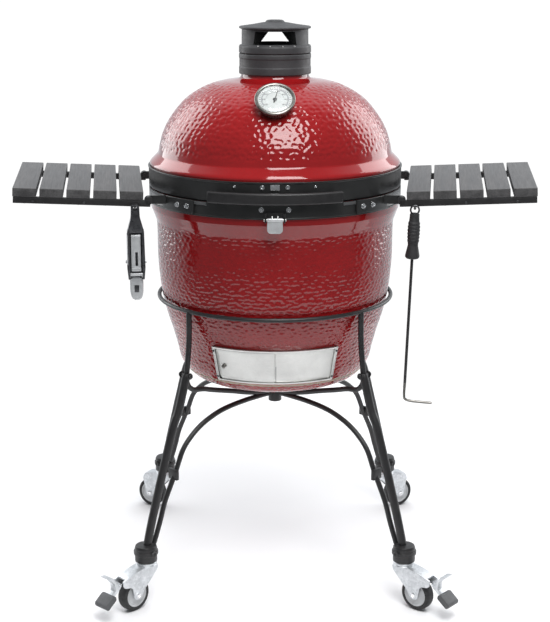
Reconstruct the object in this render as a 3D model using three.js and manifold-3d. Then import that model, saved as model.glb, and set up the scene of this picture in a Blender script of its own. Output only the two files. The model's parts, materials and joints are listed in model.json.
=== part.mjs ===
// A ceramic charcoal grill on a four-legged cart, in millimetres, with +Z up and the front facing -Y.
// Every physical piece is one named mesh. The assembly is built about the axis of the ceramic body
// and then moved along Y, so that the origin is under the middle of its bounding box.
import * as THREE from 'three';
import { mergeVertices, toCreasedNormals } from 'three/addons/utils/BufferGeometryUtils.js';
import Module from 'manifold-3d';

const wasm = await Module();
wasm.setup();

// ---- driving dimensions ----------------------------------------------------------------------
const GAP = 0.3;
const MERGE = 1e-4;
const CREASE = 0.6;
const BODY_SEGMENTS = 32;
const DOOR_SEGMENTS = 96;
const SMALL_SEGMENTS = 24;
const ROUND = 2 * Math.PI;
const CENTRE_Y = 27.918;

// Ceramic body: [radius, height] pairs.
const FOOT_Z = 456;
const PARTING_Z = 916;
const GASKET_T = 2;
const BASE_RIM_Z = PARTING_Z - GASKET_T;
const DOME_RIM_Z = PARTING_Z + GASKET_T;
const BASE_OUTER = [
  [0, FOOT_Z], [148, FOOT_Z], [160, 460], [192, 472.5], [210, 489], [222, 508], [230, 540], [241, 580],
  [254, 622], [265, 673], [272, 745], [274, 834], [279, 850], [285.7, 868], [285.7, BASE_RIM_Z],
];
const BASE_INNER = [
  [256, BASE_RIM_Z], [247, 800], [238, 680], [213, 575], [210, 556], [190, 553], [197, 530],
  [184, 496], [0, 488],
];
const DOME_OUTER = [
  [285.7, DOME_RIM_Z], [285.7, 962.6], [287, 964], [286, 982], [279, 990], [270, 1002], [260, 1030],
  [243.7, 1060], [213.6, 1100], [190, 1120], [155, 1140], [120, 1152], [77, 1164], [75, 1176],
];
const VENT_BORE_R = 52;
const DOME_INNER = [
  [VENT_BORE_R, 1176], [VENT_BORE_R, 1134], [100, 1128], [150, 1112], [190, 1085], [225, 1040],
  [248, 975], [256, DOME_RIM_Z],
];

// Steel bands round the rims.
const BAND_IN_R = 286.2;
const BAND_R = 289.6;
const BAND_LIP_R = 291;
const LOW_BAND_Z = [882, BASE_RIM_Z];
const TOP_BAND_Z = [DOME_RIM_Z, 962];
const BAND_LIP = 3;

// Draft door in the base.
const DRAFT_Z = [498, 581];
const DRAFT_HALF_ANGLE = 0.602;
const FRAME_END = 0.03;
const DRAFT_HOLE = { half: 92, low: 509, high: 549 };
const FRAME_OFFSET = 0.4;
const FRAME_T = 2.2;
const DOOR_OFFSET = 3;
const DOOR_T = 2;
const RAIL_T = 9;
const RAIL_H = 4.5;
const DOOR_Z = [503, 576];
const DOOR_END_ANGLE = 0.552;
const DOOR_EDGE = 0.004;
const WINDOW = { low: 511, high: 546, near: 0.03, far: 0.42 };

// Inside the base.
const FIRE_BOX = { bottom: 557, top: 730, floor: 574, hole: 118 };
const FIRE_RING = { bottom: 730.4, top: 800, outer: 240, inner: 216 };
const RACK = { r: 232, low: 805, high: 895, wire: 4, post: 237 };
const DEFLECTOR = { r: 206, z: 811.5, t: 15 };
const GRATE = { r: 228.6, z: 899.5, t: 7, bar: 7, pitch: 21, rim: 9, gap: 1.5 };
const FIRE_GRATE = { r: 132, z: 574.4, t: 10, slots: 8 };
const DRAWER = { half: 84, front: -188, back: 92, low: 511, high: 541, wall: 2 };

// Cart: [radius, height] along the diagonals.
const RING = { r: 270.9, z: 657, bar: 4.8 };
const ROD_R = 6.4;
const LEG_R = 9.5;
const LEG_PATH = [[281, 512], [307, 431], [320, 406], [350, 320], [376, 240], [389, 199], [406, 140]];
const ROD_BEND = [RING.r + 1, 590];
const ROD_FOOT = [282, 500];
const ARCH_PATH = [[0, 412], [99, 412], [155, 408], [189, 402], [237, 385], [270, 364], [294, 340],
  [318, 292], [352, 228], [366, 189], [385, 148]];
const SUPPORT_PATH = [[262, 474], [232, 469], [201, 460], [143, 444.5], [84, 428], [20, 416]];
const ARCH_ROD_R = 6;
const CLAMP = { r: 330, z: 288 };
const SOCKET = { at: 290, r: 25, low: 105, high: 142 };

// Casters: s is measured along the heading, from the swivel axis.
const WHEEL = { r: 37.5, w: 25, bore: 5.5, segments: 16 };
const TRAIL = 40;
const FORK = { half: 16.5, t: 2.5, top: 98 };
const AXLE_R = 5;
const BRAKE_PIVOT = [87, 74];
const HEADINGS = {
  front_left: [-1, -1, 227], front_right: [1, -1, 319], rear_left: [-1, 1, 153], rear_right: [1, 1, 27],
};

// Shelves: local x runs outward from the fold axis, y to the rear, z up.
const SHELF_PIVOT = [297.5, 1, 906.2];
const SHELF_SPLAY = 0.114;
const SHELF_TILT = 0.05;
const SLAT = { w: 50.7, t: 19, gap: 7, start: 12, low: 1, half: 195, count: 5 };
const RAIL = { w: 14, top: 0.7, low: -13.3, half: 194.5 };
const CROSS_BAR = { inner: 30, inset: 14, t: 4, low: -8, half: 185 };
const LUG_R = 9;
const PIN_R = 4;
const BRACKET = { t: 5, face: 179.8, low: 897, high: 915.4, screwR: 5 };
const BRACKET_FRONT = { end: -1, reach: 52, from: 0.64, to: 0.99, screws: [0.7, 0.8] };
const BRACKET_REAR = { end: 1, reach: 98, from: 2.2, to: 2.52, screws: [2.36, 2.46] };

// Tools on the shelf hooks.
const HOOK = { u: 30, z: -12, r: 3, reach: 35, gap: 17.5 };
const SPARE_HOOKS = { at: [140, 250], z: -8, reach: 1.2 };
const HOOK_SIDES = 6;
const TOOL_LEAN = 0.034;
const HANDLE_L = 120;
const ASH_ROD_L = 438;
const ASH_BEND = 62;
const ASH_ROD_R = 3.25;

// Dome fittings.
const HINGE = { y: 334, z: 930, shaft: 6, bore: 6.4, ear: 68, arm: 44, t: 8 };
const HANDLE = { r: 310, half: 0.475, low: 917, high: 942, t: 13 };
const THERMO = { r: 199.4, z: 1113.3, tilt: 0.80, back: 36, bezel: 44, depth: 26, stem: 4, probe: 66 };
const VENT = { ring: 81.5, low: 1176.4, top: 1212, tower: 75, brim: 81, cap: 1268, slots: 6, segments: 20 };
const VENT_HINGE_Y = 88;
const LATCH = { y: -300, z: 884 };

const RED = { color: 0x8f1f22, roughness: 0.16, metalness: 0 };
const CLAY = { color: 0x8c7a66, roughness: 0.9, metalness: 0 };
const BLACK = { color: 0x26262a, roughness: 0.5, metalness: 0.3 };
const IRON = { color: 0x2c2b2b, roughness: 0.75, metalness: 0.6 };
const STEEL = { color: 0xb9bcbe, roughness: 0.3, metalness: 1 };
const ZINC = { color: 0xc3c8ca, roughness: 0.35, metalness: 1 };
const RUBBER = { color: 0x202022, roughness: 0.85, metalness: 0 };
const SLATS = { color: 0x4b4a4c, roughness: 0.6, metalness: 0.1 };
const FELT = { color: 0x3a3836, roughness: 1, metalness: 0 };
const PLASTIC = { color: 0x58585c, roughness: 0.6, metalness: 0 };
const DIAL = { color: 0xd9dbdc, roughness: 0.3, metalness: 0.7 };
const GLASS = { color: 0xf0f4f5, roughness: 0.02, metalness: 0 };

// ---- helpers ---------------------------------------------------------------------------------
function solid(source) {
  let g = source.clone();
  g.deleteAttribute('normal');
  g.deleteAttribute('uv');
  g = mergeVertices(g, MERGE);
  const p = g.attributes.position.array;
  const index = g.index.array;
  const kept = [];
  let volume = 0;
  for (let i = 0; i < index.length; i += 3) {
    const [a, b, c] = [index[i], index[i + 1], index[i + 2]];
    if (a === b || b === c || c === a) continue;
    kept.push(a, b, c);
    const va = new THREE.Vector3().fromArray(p, 3 * a);
    const vb = new THREE.Vector3().fromArray(p, 3 * b);
    const vc = new THREE.Vector3().fromArray(p, 3 * c);
    volume += va.dot(vb.cross(vc));
  }
  if (volume < 0) {
    for (let i = 0; i < kept.length; i += 3) {
      [kept[i + 1], kept[i + 2]] = [kept[i + 2], kept[i + 1]];
    }
  }
  const mesh = new wasm.Mesh({
    numProp: 3, vertProperties: new Float32Array(p), triVerts: new Uint32Array(kept),
  });
  return new wasm.Manifold(mesh);
}

function geometryOf(manifold) {
  const mesh = manifold.getMesh();
  const g = new THREE.BufferGeometry();
  g.setAttribute('position', new THREE.BufferAttribute(new Float32Array(mesh.vertProperties), 3));
  g.setIndex(new THREE.BufferAttribute(new Uint32Array(mesh.triVerts), 1));
  return toCreasedNormals(g, CREASE);
}

function join(...solids) {
  return solids.reduce((a, b) => a.add(b));
}

function lathe(points, segments = BODY_SEGMENTS) {
  const g = new THREE.LatheGeometry(points.map(([r, z]) => new THREE.Vector2(r, z)), segments);
  return solid(g.rotateX(Math.PI / 2));
}

// A ring turned from a closed outline of [radius, height] corners.
function ring(points, segments = BODY_SEGMENTS) {
  return lathe([...points, points[0]], segments);
}

function band(inner, outer, low, high, segments = BODY_SEGMENTS) {
  return ring([[inner, low], [outer, low], [outer, high], [inner, high]], segments);
}

function box(x, y, z) {
  const g = new THREE.BoxGeometry(x[1] - x[0], y[1] - y[0], z[1] - z[0]);
  return solid(g.translate((x[0] + x[1]) / 2, (y[0] + y[1]) / 2, (z[0] + z[1]) / 2));
}

function rodZ(r, low, high, x = 0, y = 0, segments = SMALL_SEGMENTS) {
  const g = new THREE.CylinderGeometry(r, r, high - low, segments);
  return solid(g.rotateX(Math.PI / 2).translate(x, y, (low + high) / 2));
}

function rodY(r, from, to, x, z, segments = SMALL_SEGMENTS) {
  const g = new THREE.CylinderGeometry(r, r, to - from, segments);
  return solid(g.translate(x, (from + to) / 2, z));
}

function rodX(r, from, to, y, z, segments = SMALL_SEGMENTS) {
  const g = new THREE.CylinderGeometry(r, r, to - from, segments);
  return solid(g.rotateZ(Math.PI / 2).translate((from + to) / 2, y, z));
}

// A bent round bar through the given points.
function bar(points, radius, steps, sides = 8) {
  const curve = new THREE.CatmullRomCurve3(points.map((p) => new THREE.Vector3(...p)));
  curve.curveType = 'centripetal';
  const outline = [];
  for (let i = 0; i < sides; i += 1) {
    const a = (i + 0.5) * ROUND / sides;
    outline.push(new THREE.Vector2(radius * Math.cos(a), radius * Math.sin(a)));
  }
  const g = new THREE.ExtrudeGeometry(new THREE.Shape(outline), { steps, extrudePath: curve });
  return solid(g);
}

// A flat plate cut from an outline in XZ, reaching from y0 to y1.
function plateXZ(corners, y0, y1) {
  const shape = new THREE.Shape(corners.map(([x, z]) => new THREE.Vector2(x, z)));
  const g = new THREE.ExtrudeGeometry(shape, { depth: y1 - y0, bevelEnabled: false });
  return solid(g.rotateX(Math.PI / 2).translate(0, y1, 0));
}

function plateXY(corners, low, high) {
  const shape = new THREE.Shape(corners.map(([x, y]) => new THREE.Vector2(x, y)));
  const g = new THREE.ExtrudeGeometry(shape, { depth: high - low, bevelEnabled: false });
  return solid(g.translate(0, 0, low));
}

// A wedge of the space round the body axis, between two angles measured from the front (-Y).
function frontWedge(from, to, radius, low, high) {
  const corners = [[0, 0]];
  const steps = 12;
  for (let i = 0; i <= steps; i += 1) {
    const a = from + (to - from) * i / steps;
    corners.push([radius * Math.sin(a), -radius * Math.cos(a)]);
  }
  return plateXY(corners, low, high);
}

function circle(r, count, x = 0, y = 0) {
  const points = [];
  for (let i = 0; i < count; i += 1) {
    const a = (i + 0.5) * ROUND / count;
    points.push([x + r * Math.cos(a), y + r * Math.sin(a)]);
  }
  return points;
}

function moved(body, offset, turn = 0) {
  return body.rotate([0, 0, turn * 180 / Math.PI]).translate(offset);
}

function group(parent, name, position = [0, 0, 0], rotation = [0, 0, 0], order = 'ZYX') {
  const g = new THREE.Group();
  g.name = name;
  g.position.set(...position);
  g.rotation.set(...rotation, order);
  parent.add(g);
  return g;
}

function part(parent, name, body, look) {
  const mesh = new THREE.Mesh(geometryOf(body), new THREE.MeshStandardMaterial(look));
  mesh.name = name;
  mesh.material.name = name;
  parent.add(mesh);
  return mesh;
}

// Radius of a [radius, height] outline at a height.
function radiusAt(outline, z) {
  for (let i = 1; i < outline.length; i += 1) {
    const [r0, z0] = outline[i - 1];
    const [r1, z1] = outline[i];
    if (z0 !== z1 && z >= Math.min(z0, z1) && z <= Math.max(z0, z1)) {
      return r0 + (r1 - r0) * (z - z0) / (z1 - z0);
    }
  }
  throw new Error(`no radius at ${z}`);
}

// A shell that follows the outside of the base between two heights.
function overBase(offset, thickness, low, high) {
  const heights = [low, ...BASE_OUTER.map(([, z]) => z).filter((z) => z > low && z < high), high];
  const near = heights.map((z) => [radiusAt(BASE_OUTER, z) + offset, z]);
  const far = heights.map((z) => [radiusAt(BASE_OUTER, z) + offset + thickness, z]).reverse();
  return ring([...near, ...far], DOOR_SEGMENTS);
}

// ---- ceramic body ----------------------------------------------------------------------------
function baseShell() {
  const opening = box([-DRAFT_HOLE.half, DRAFT_HOLE.half], [-260, -120], [DRAFT_HOLE.low, DRAFT_HOLE.high]);
  return lathe([...BASE_OUTER, ...BASE_INNER]).subtract(opening);
}

function thermoFrame(body) {
  const degrees = 90 - THERMO.tilt * 180 / Math.PI;
  return body.rotate([degrees, 0, 0]).translate([0, -THERMO.r, THERMO.z]);
}

function domeShell() {
  const hole = thermoFrame(rodZ(THERMO.stem + 1, -60, 30, 0, 0, 12));
  return ring([...DOME_OUTER, ...DOME_INNER]).subtract(hole);
}

function steelBand([low, high], lipLow) {
  const body = band(BAND_IN_R, BAND_R, low, high);
  const lip = lipLow ? [low, low + BAND_LIP] : [high - BAND_LIP, high];
  return body.add(band(BAND_IN_R, BAND_LIP_R, lip[0], lip[1]));
}

function frontStud(x, z, r, reach, from = BAND_R) {
  const y = -Math.sqrt((from - 1) ** 2 - x ** 2);
  return rodY(r, y - reach, y, x, z, 6);
}

// The lower band carries the latch ears, the hinge ears and the bolts that clamp it.
function lowerBand() {
  const bolts = [-29, 29].map((x) => frontStud(x, 903.6, 6.5, 7));
  return join(steelBand(LOW_BAND_Z, true), ...bolts, latchEars(), hingeEars());
}

function upperBand() {
  const bolts = [-27, 27].map((x) => frontStud(x, 951, 5, 5));
  return join(steelBand(TOP_BAND_Z, false), ...bolts, hingeArms());
}

// ---- draft door ------------------------------------------------------------------------------
function draftFrame() {
  const sector = frontWedge(-DRAFT_HALF_ANGLE, DRAFT_HALF_ANGLE, 300, DRAFT_Z[0], DRAFT_Z[1]);
  const back = overBase(FRAME_OFFSET, FRAME_T, ...DRAFT_Z);
  const low = overBase(FRAME_OFFSET, RAIL_T, DRAFT_Z[0], DRAFT_Z[0] + RAIL_H);
  const high = overBase(FRAME_OFFSET, RAIL_T, DRAFT_Z[1] - RAIL_H, DRAFT_Z[1]);
  const ends = [-1, 1].map((s) => overBase(FRAME_OFFSET, RAIL_T, ...DRAFT_Z)
    .intersect(frontWedge(...[s * (DRAFT_HALF_ANGLE - FRAME_END), s * DRAFT_HALF_ANGLE].sort((a, b) => a - b), 300, ...DRAFT_Z)));
  const window = frontWedge(-WINDOW.far, -WINDOW.near, 300, WINDOW.low, WINDOW.high);
  const fixed = overBase(FRAME_OFFSET, DOOR_OFFSET + DOOR_T - FRAME_OFFSET, DRAFT_Z[0], DRAFT_Z[1])
    .intersect(frontWedge(DOOR_EDGE, DOOR_END_ANGLE + 0.022, 300, ...DRAFT_Z));
  return join(back.subtract(window), low, high).intersect(sector).add(join(fixed, ...ends));
}

function draftPanel(from, to, offset, knobAngle) {
  const shell = overBase(offset, DOOR_T, ...DOOR_Z).intersect(frontWedge(from, to, 300, ...DOOR_Z));
  const r = radiusAt(BASE_OUTER, 528) + offset;
  const knob = moved(rodY(4, -r - 11, -r - 1, 0, 528, 10), [0, 0, 0], knobAngle);
  return shell.add(knob);
}

// ---- inside the body -------------------------------------------------------------------------
function fireBox() {
  const shell = ring([
    [FIRE_BOX.hole, FIRE_BOX.bottom], [203, FIRE_BOX.bottom], [211, 582], [234.5, 680],
    [237, FIRE_BOX.top], [219, FIRE_BOX.top], [216, 680], [190, 584], [176, FIRE_BOX.floor],
    [FIRE_BOX.hole, FIRE_BOX.floor],
  ], 24);
  const vents = [0, 1].map((i) => box([-16, 16], [-260, 260], [625, 655]).rotate([0, 0, 45 + i * 90]));
  return vents.reduce((a, b) => a.subtract(b), shell);
}

function halfDisc(side, r, gap) {
  const points = [[side * gap, -Math.sqrt(r * r - gap * gap)]];
  const steps = 20;
  for (let i = 1; i < steps; i += 1) {
    const a = -Math.PI / 2 + Math.PI * i / steps;
    points.push([side * Math.max(gap, r * Math.cos(a)), r * Math.sin(a)]);
  }
  points.push([side * gap, Math.sqrt(r * r - gap * gap)]);
  return points;
}

function cookingGrate(side) {
  const inner = GRATE.r - GRATE.rim;
  let grate = plateXY(halfDisc(side, GRATE.r, GRATE.gap), GRATE.z, GRATE.z + GRATE.t);
  for (let x = GRATE.gap + GRATE.rim; x < inner - GRATE.pitch; x += GRATE.pitch) {
    const end = x + GRATE.pitch - GRATE.bar;
    const reach = Math.sqrt(inner * inner - end * end) - 2;
    const xs = [side * x, side * end].sort((a, b) => a - b);
    grate = grate.subtract(box(xs, [-reach, reach], [GRATE.z - 1, GRATE.z + GRATE.t + 1]));
  }
  return grate;
}

function heatDeflector() {
  const { r, z, t } = DEFLECTOR;
  return ring([[0, z], [r - 2, z], [r, z + 2], [r, z + t - 2], [r - 2, z + t], [0, z + t]], 28);
}

function cookingRack() {
  const hoops = [RACK.low, RACK.high].map((z) => (
    solid(new THREE.TorusGeometry(RACK.r, RACK.wire, 4, 24).translate(0, 0, z))));
  const posts = [45, 135, 225, 315].map((a) => rodZ(RACK.wire, RACK.low - 3, RACK.high + 3, RACK.post, 0, 6)
    .rotate([0, 0, a]));
  const rails = [-110, 110].map((y) => rodX(RACK.wire - 0.5, -207, 207, y, RACK.low + 1.5, 6));
  return join(...hoops, ...posts, ...rails);
}

function fireGrate() {
  const { r, z, t, slots } = FIRE_GRATE;
  const corners = [[34, -6], [112, -9], [112, 9], [34, 6]];
  let grate = plateXY(circle(r, 32), z, z + t);
  for (let i = 0; i < slots; i += 1) {
    grate = grate.subtract(plateXY(corners, z - 1, z + t + 1).rotate([0, 0, 360 * i / slots]));
  }
  return grate;
}

function ashDrawer() {
  const { half, front, back, low, high, wall } = DRAWER;
  const outside = box([-half, half], [front, back], [low, high]);
  const inside = box([-half + wall, half - wall], [front + wall, back - wall], [low + wall, high + 1]);
  const grip = box([-22, 22], [front - 7, front + 1], [high - 8, high - 4]);
  return outside.subtract(inside).add(grip);
}

// ---- cart ------------------------------------------------------------------------------------
function cartRing() {
  return solid(new THREE.TorusGeometry(RING.r, RING.bar, 6, 48).translate(0, 0, RING.z));
}

function radial(points) {
  return points.map(([r, z]) => [r, 0, z]);
}

// One leg, built along +X and turned to its diagonal: rod, tube, caster socket and its bolts.
function leg() {
  const rodPath = [[RING.r, RING.z - RING.bar - GAP], ROD_BEND, ROD_FOOT];
  const upper = bar(radial(rodPath), ROD_R, 3, 6);
  const tube = bar(radial(LEG_PATH), LEG_R, 7, 8);
  const centre = SOCKET.at * Math.SQRT2;
  const socket = rodZ(SOCKET.r, SOCKET.low, SOCKET.high, centre, 0, 12);
  const bolt = rodY(5, -19, 19, ROD_FOOT[0] + 1, 512, 6);
  const ears = rodY(7, -SOCKET.r - 5, SOCKET.r + 5, centre, SOCKET.high - 14, 6);
  const stemHole = rodZ(6, SOCKET.low - 1, SOCKET.low + 25, centre, 0, 8);
  return join(upper, tube, socket, bolt, ears).subtract(stemHole);
}

// The inner frame: two full arches crossing at the hub, the bars under the body and their hub.
function crossBrace() {
  const pieces = [rodZ(16, 390, 420, 0, 0, 8)];
  for (let i = 0; i < 4; i += 1) {
    const arch = bar(radial(ARCH_PATH), ARCH_ROD_R, 9, 6);
    const support = bar(radial(SUPPORT_PATH), ARCH_ROD_R, 6, 6);
    const clamp = box([CLAMP.r - 10, CLAMP.r - 2], [-14, 14], [CLAMP.z - 12, CLAMP.z + 12]);
    pieces.push(join(arch, support, clamp).rotate([0, 0, 45 + 90 * i]));
  }
  return join(...pieces);
}

function casterFork(withHood) {
  const nose = withHood ? [[84, 82], [80, 66]] : [[54, 90], [60, 78]];
  const side = [
    [-19, 84], [-21, 96], [19, 98], [52, 92], ...nose, [TRAIL + 16, 62], [TRAIL + 10, 28],
    [TRAIL - 9, 27], [TRAIL - 17, 44],
  ];
  const outer = plateXZ(side, -FORK.half, FORK.half);
  const hollow = plateXZ([
    [-30, 60], [-14, 78], [-12, 86], [20, 91], [52, 86.5], [120, 70], [120, -1], [-30, -1],
  ], -FORK.half + FORK.t, FORK.half - FORK.t);
  const notch = box([72, 110], [-12, 12], [50, 100]);
  const race = rodZ(24, 93, 104.7, 0, 0, 12);
  const stem = rodZ(5.4, 100, 128, 0, 0, 8);
  const axle = rodY(AXLE_R, -FORK.half - 2.5, FORK.half + 2.5, TRAIL, WHEEL.r, 8);
  return join(outer.subtract(hollow).subtract(notch), race, stem, axle);
}

function casterWheel() {
  const half = WHEEL.w / 2;
  const facet = Math.PI / WHEEL.segments;
  const grow = 1 / Math.cos(facet);
  const tyre = ring([
    [WHEEL.bore * grow, -half], [(WHEEL.r - 3) * grow, -half], [WHEEL.r * grow, -half + 4],
    [WHEEL.r * grow, half - 4], [(WHEEL.r - 3) * grow, half], [WHEEL.bore * grow, half],
  ], WHEEL.segments);
  return tyre.rotate([0, 0, 180 / WHEEL.segments]).rotate([90, 0, 0]).translate([TRAIL, 0, WHEEL.r]);
}

// The rocker: a pedal below, a release tab above, on a pivot inside the hood.
function casterBrake() {
  const [s, z] = BRAKE_PIVOT;
  const arm = plateXZ([[s - 4, z - 5], [s + 12, z - 18], [s + 26, z - 24], [s + 28, z - 19], [s + 12, z - 8],
    [s + 13, z + 6], [s + 24, z + 20], [s + 20, z + 23], [s + 6, z + 8], [s - 4, z + 6]], -9, 9);
  const pedal = plateXZ([[s + 18, z - 24], [s + 42, z - 42], [s + 49, z - 38], [s + 50, z - 30],
    [s + 28, z - 13], [s + 20, z - 15]], -20, 20);
  const tab = plateXZ([[s + 18, z + 18], [s + 34, z + 26], [s + 35, z + 29], [s + 22, z + 27]], -14, 14);
  return join(arm, pedal, tab, rodY(3, -11.7, 11.7, s, z, 8));
}

// ---- shelves ---------------------------------------------------------------------------------
function slat(side, index) {
  const x = SLAT.start + index * (SLAT.w + SLAT.gap);
  const xs = [side * x, side * (x + SLAT.w)].sort((a, b) => a - b);
  return box(xs, [-SLAT.half, SLAT.half], [SLAT.low, SLAT.low + SLAT.t]);
}

function shelfFrame(side) {
  const width = SLAT.count * SLAT.w + (SLAT.count - 1) * SLAT.gap;
  const span = (a, b) => [side * a, side * b].sort((p, q) => p - q);
  const pieces = [];
  for (const end of [-1, 1]) {
    const ys = [end * RAIL.half, end * (RAIL.half - RAIL.w)].sort((a, b) => a - b);
    const mid = (ys[0] + ys[1]) / 2;
    pieces.push(box(span(-4, SLAT.start + width - 1), ys, [RAIL.low, RAIL.top]));
    pieces.push(rodY(LUG_R, ys[0], ys[1], 0, 0, 12));
    const inner = end > 0 ? [mid - 16, mid] : [mid, mid + 16];
    pieces.push(rodY(PIN_R, inner[0], inner[1], 0, 0, 8));
  }
  for (const x of [CROSS_BAR.inner, SLAT.start + width - CROSS_BAR.inset]) {
    pieces.push(box(span(x, x + CROSS_BAR.t), [-CROSS_BAR.half, CROSS_BAR.half], [CROSS_BAR.low, RAIL.top]));
  }
  const root = -RAIL.half + HOOK.r;
  pieces.push(rodY(HOOK.r, -RAIL.half - HOOK.reach, root, side * HOOK.u, HOOK.z, HOOK_SIDES));
  for (const u of SPARE_HOOKS.at) {
    pieces.push(rodY(HOOK.r, -RAIL.half - SPARE_HOOKS.reach, root, side * u, SPARE_HOOKS.z, HOOK_SIDES));
  }
  return join(...pieces);
}

// A plate from the fold pin to a pad bolted on the lower band, in the body's own axes.
function shelfBracket(side, { end, reach, from, to, screws }) {
  const turn = -side * SHELF_SPLAY * 180 / Math.PI;
  const ys = [end * BRACKET.face, end * (BRACKET.face - BRACKET.t)].sort((a, b) => a - b);
  const xs = [-side * reach, 0].sort((a, b) => a - b);
  const z = SHELF_PIVOT[2];
  const flat = box(xs, ys, [BRACKET.low, BRACKET.high]).add(rodY(9.2, ys[0], ys[1], 0, z, 16));
  const hole = rodY(PIN_R + 0.4, ys[0] - 1, ys[1] + 1, 0, z, 16);
  const pivot = [side * SHELF_PIVOT[0], SHELF_PIVOT[1], 0];
  const plate = flat.subtract(hole).rotate([0, 0, turn]).translate(pivot);
  const low = BRACKET.low - 11;
  const wedge = frontWedge(...[side * from, side * to].sort((a, b) => a - b), 340, low, BRACKET.high);
  const pad = band(BAND_LIP_R + GAP, BAND_LIP_R + 5, low, BRACKET.high).intersect(wedge);
  const heads = screws.map((a) => rodY(BRACKET.screwR, -BAND_LIP_R - 9, -BAND_LIP_R - 3, 0, 901, 6)
    .rotate([0, 0, side * a * 180 / Math.PI]));
  const clear = rodZ(BAND_LIP_R + GAP, 880, 930, 0, 0, BODY_SEGMENTS);
  return join(plate, pad, ...heads).subtract(clear);
}

// ---- tools -----------------------------------------------------------------------------------
function ashHandle() {
  const body = lathe([
    [0, -HANDLE_L + 7], [13, -HANDLE_L + 7], [16, -HANDLE_L + 16], [14, -HANDLE_L + 30],
    [11.5, -HANDLE_L + 40], [13, -HANDLE_L + 60], [13.5, -40], [11.5, -20], [11.5, 2], [9, 7], [0, 7],
  ], 12);
  const socket = rodZ(ASH_ROD_R + 0.3, -HANDLE_L, -60, 0, 0, 10);
  return body.subtract(rodY(HOOK.r + 1, -30, 30, 0, 0, 12)).subtract(socket);
}

function ashRod() {
  const path = [
    [0, 0, -62], [0, 0, -200], [0, 0, -ASH_ROD_L + 12], [2, 0, -ASH_ROD_L + 3], [10, 0, -ASH_ROD_L],
    [ASH_BEND, 0, -ASH_ROD_L - 3],
  ];
  return bar(path, ASH_ROD_R, 18, 6);
}

function gripperFrame() {
  const half = [[0, 8], [9, 8], [10, -22], [19, -54], [20, -132], [17, -158], [0, -158]];
  const outline = [...half, ...half.slice(1, -1).reverse().map(([x, z]) => [-x, z])];
  const body = plateXZ(outline, -13, 13);
  const channel = box([-12, 12], [-14, 8], [-154, -52]);
  const jaw = plateXZ([[-15, -152], [15, -152], [15, -194], [9, -206], [-9, -206], [-15, -194]], -3, 11);
  const pins = rodX(3, -23, 23, 10, -122, 8).subtract(box([-12, 12], [5, 15], [-132, -112]));
  const back = box([-13, 13], [8, 12.5], [-132, -112]);
  return join(body.subtract(channel), jaw, back, pins).subtract(rodY(HOOK.r + 1, -30, 30, 0, 0, 12));
}

function gripperTrigger() {
  const plate = box([-10.5, 10.5], [-6, -2], [-132, -62]);
  const foot = box([-10.5, 10.5], [-14, -2], [-140, -132]);
  const barrel = rodX(4, -10.5, 10.5, -4, -62, 12);
  return join(plate, foot, barrel);
}

// ---- dome fittings ---------------------------------------------------------------------------
function hingeEars() {
  const plate = box([-80, 80], [280, 302], [868, 911]);
  const ears = [-1, 1].map((s) => {
    const x = [s * HINGE.ear, s * (HINGE.ear - HINGE.t)].sort((a, b) => a - b);
    const web = box(x, [296, HINGE.y], [890, 934]);
    return join(web, rodX(14, x[0], x[1], HINGE.y, HINGE.z, 12));
  });
  const inside = rodZ(BAND_IN_R + 1, 860, 960, 0, 0, BODY_SEGMENTS);
  const bore = rodX(HINGE.bore, -90, 90, HINGE.y, HINGE.z, 12);
  return join(plate, ...ears).subtract(inside).subtract(bore);
}

function hingeArms() {
  const plate = box([-80, 80], [280, 301], [921, 960]);
  const arms = [-1, 1].map((s) => {
    const x = [s * HINGE.arm, s * (HINGE.arm - HINGE.t)].sort((a, b) => a - b);
    const web = box(x, [296, HINGE.y], [923, 944]);
    return join(web, rodX(14, x[0], x[1], HINGE.y, HINGE.z, 12));
  });
  const inside = rodZ(BAND_IN_R + 1, 860, 980, 0, 0, BODY_SEGMENTS);
  const bore = rodX(HINGE.bore, -90, 90, HINGE.y, HINGE.z, 12);
  const notch = [-1, 1].map((s) => box([s * 64 - 8, s * 64 + 8], [292, 310], [915, 950]));
  return join(plate, ...arms).subtract(inside).subtract(bore).subtract(join(...notch));
}

// The shaft with its two heads and the spring drum between the arms.
function hingeShaft() {
  const heads = [-1, 1].map((s) => rodX(9, ...[s * 70, s * 76].sort((a, b) => a - b), HINGE.y, HINGE.z, 8));
  const coils = [];
  for (let x = -28; x < 28; x += 14) {
    coils.push(rodX(13, x, x + 7, HINGE.y, HINGE.z, 8));
  }
  const drum = rodX(10, -30, 30, HINGE.y, HINGE.z, 8);
  return join(rodX(HINGE.shaft, -72, 72, HINGE.y, HINGE.z, 12), drum, ...heads, ...coils);
}

function frontHandle() {
  const { r, half, low, high, t } = HANDLE;
  const grip = ring([
    [r - t / 2, low + 5], [r - t / 2 + 3, low], [r + t / 2 - 3, low], [r + t / 2, low + 5],
    [r + t / 2, high - 5], [r + t / 2 - 3, high], [r - t / 2 + 3, high], [r - t / 2, high - 5],
  ]).intersect(frontWedge(-half, half, 360, low - 1, high + 1));
  const stands = [-0.2, 0.2].map((a) => box([-9, 9], [-r, -BAND_R - 0.2], [low + 5, high - 4])
    .rotate([0, 0, a * 180 / Math.PI]));
  const clear = rodZ(BAND_R + GAP, low, high, 0, 0, BODY_SEGMENTS);
  return join(grip, ...stands).subtract(clear);
}

function latchEars() {
  const { y, z } = LATCH;
  const pad = box([-22, 22], [y + 3, y + 12], [z + 6, z + 14]);
  const ears = [-1, 1].map((s) => box([s * 20 - 2, s * 20 + 2], [y - 7, y + 6], [z - 6, z + 14]));
  const inside = rodZ(BAND_IN_R + 1, 860, 930, 0, 0, BODY_SEGMENTS);
  const bore = rodX(3.4, -30, 30, y - 1, z, 12);
  return join(pad, ...ears).subtract(inside).subtract(bore);
}

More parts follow.
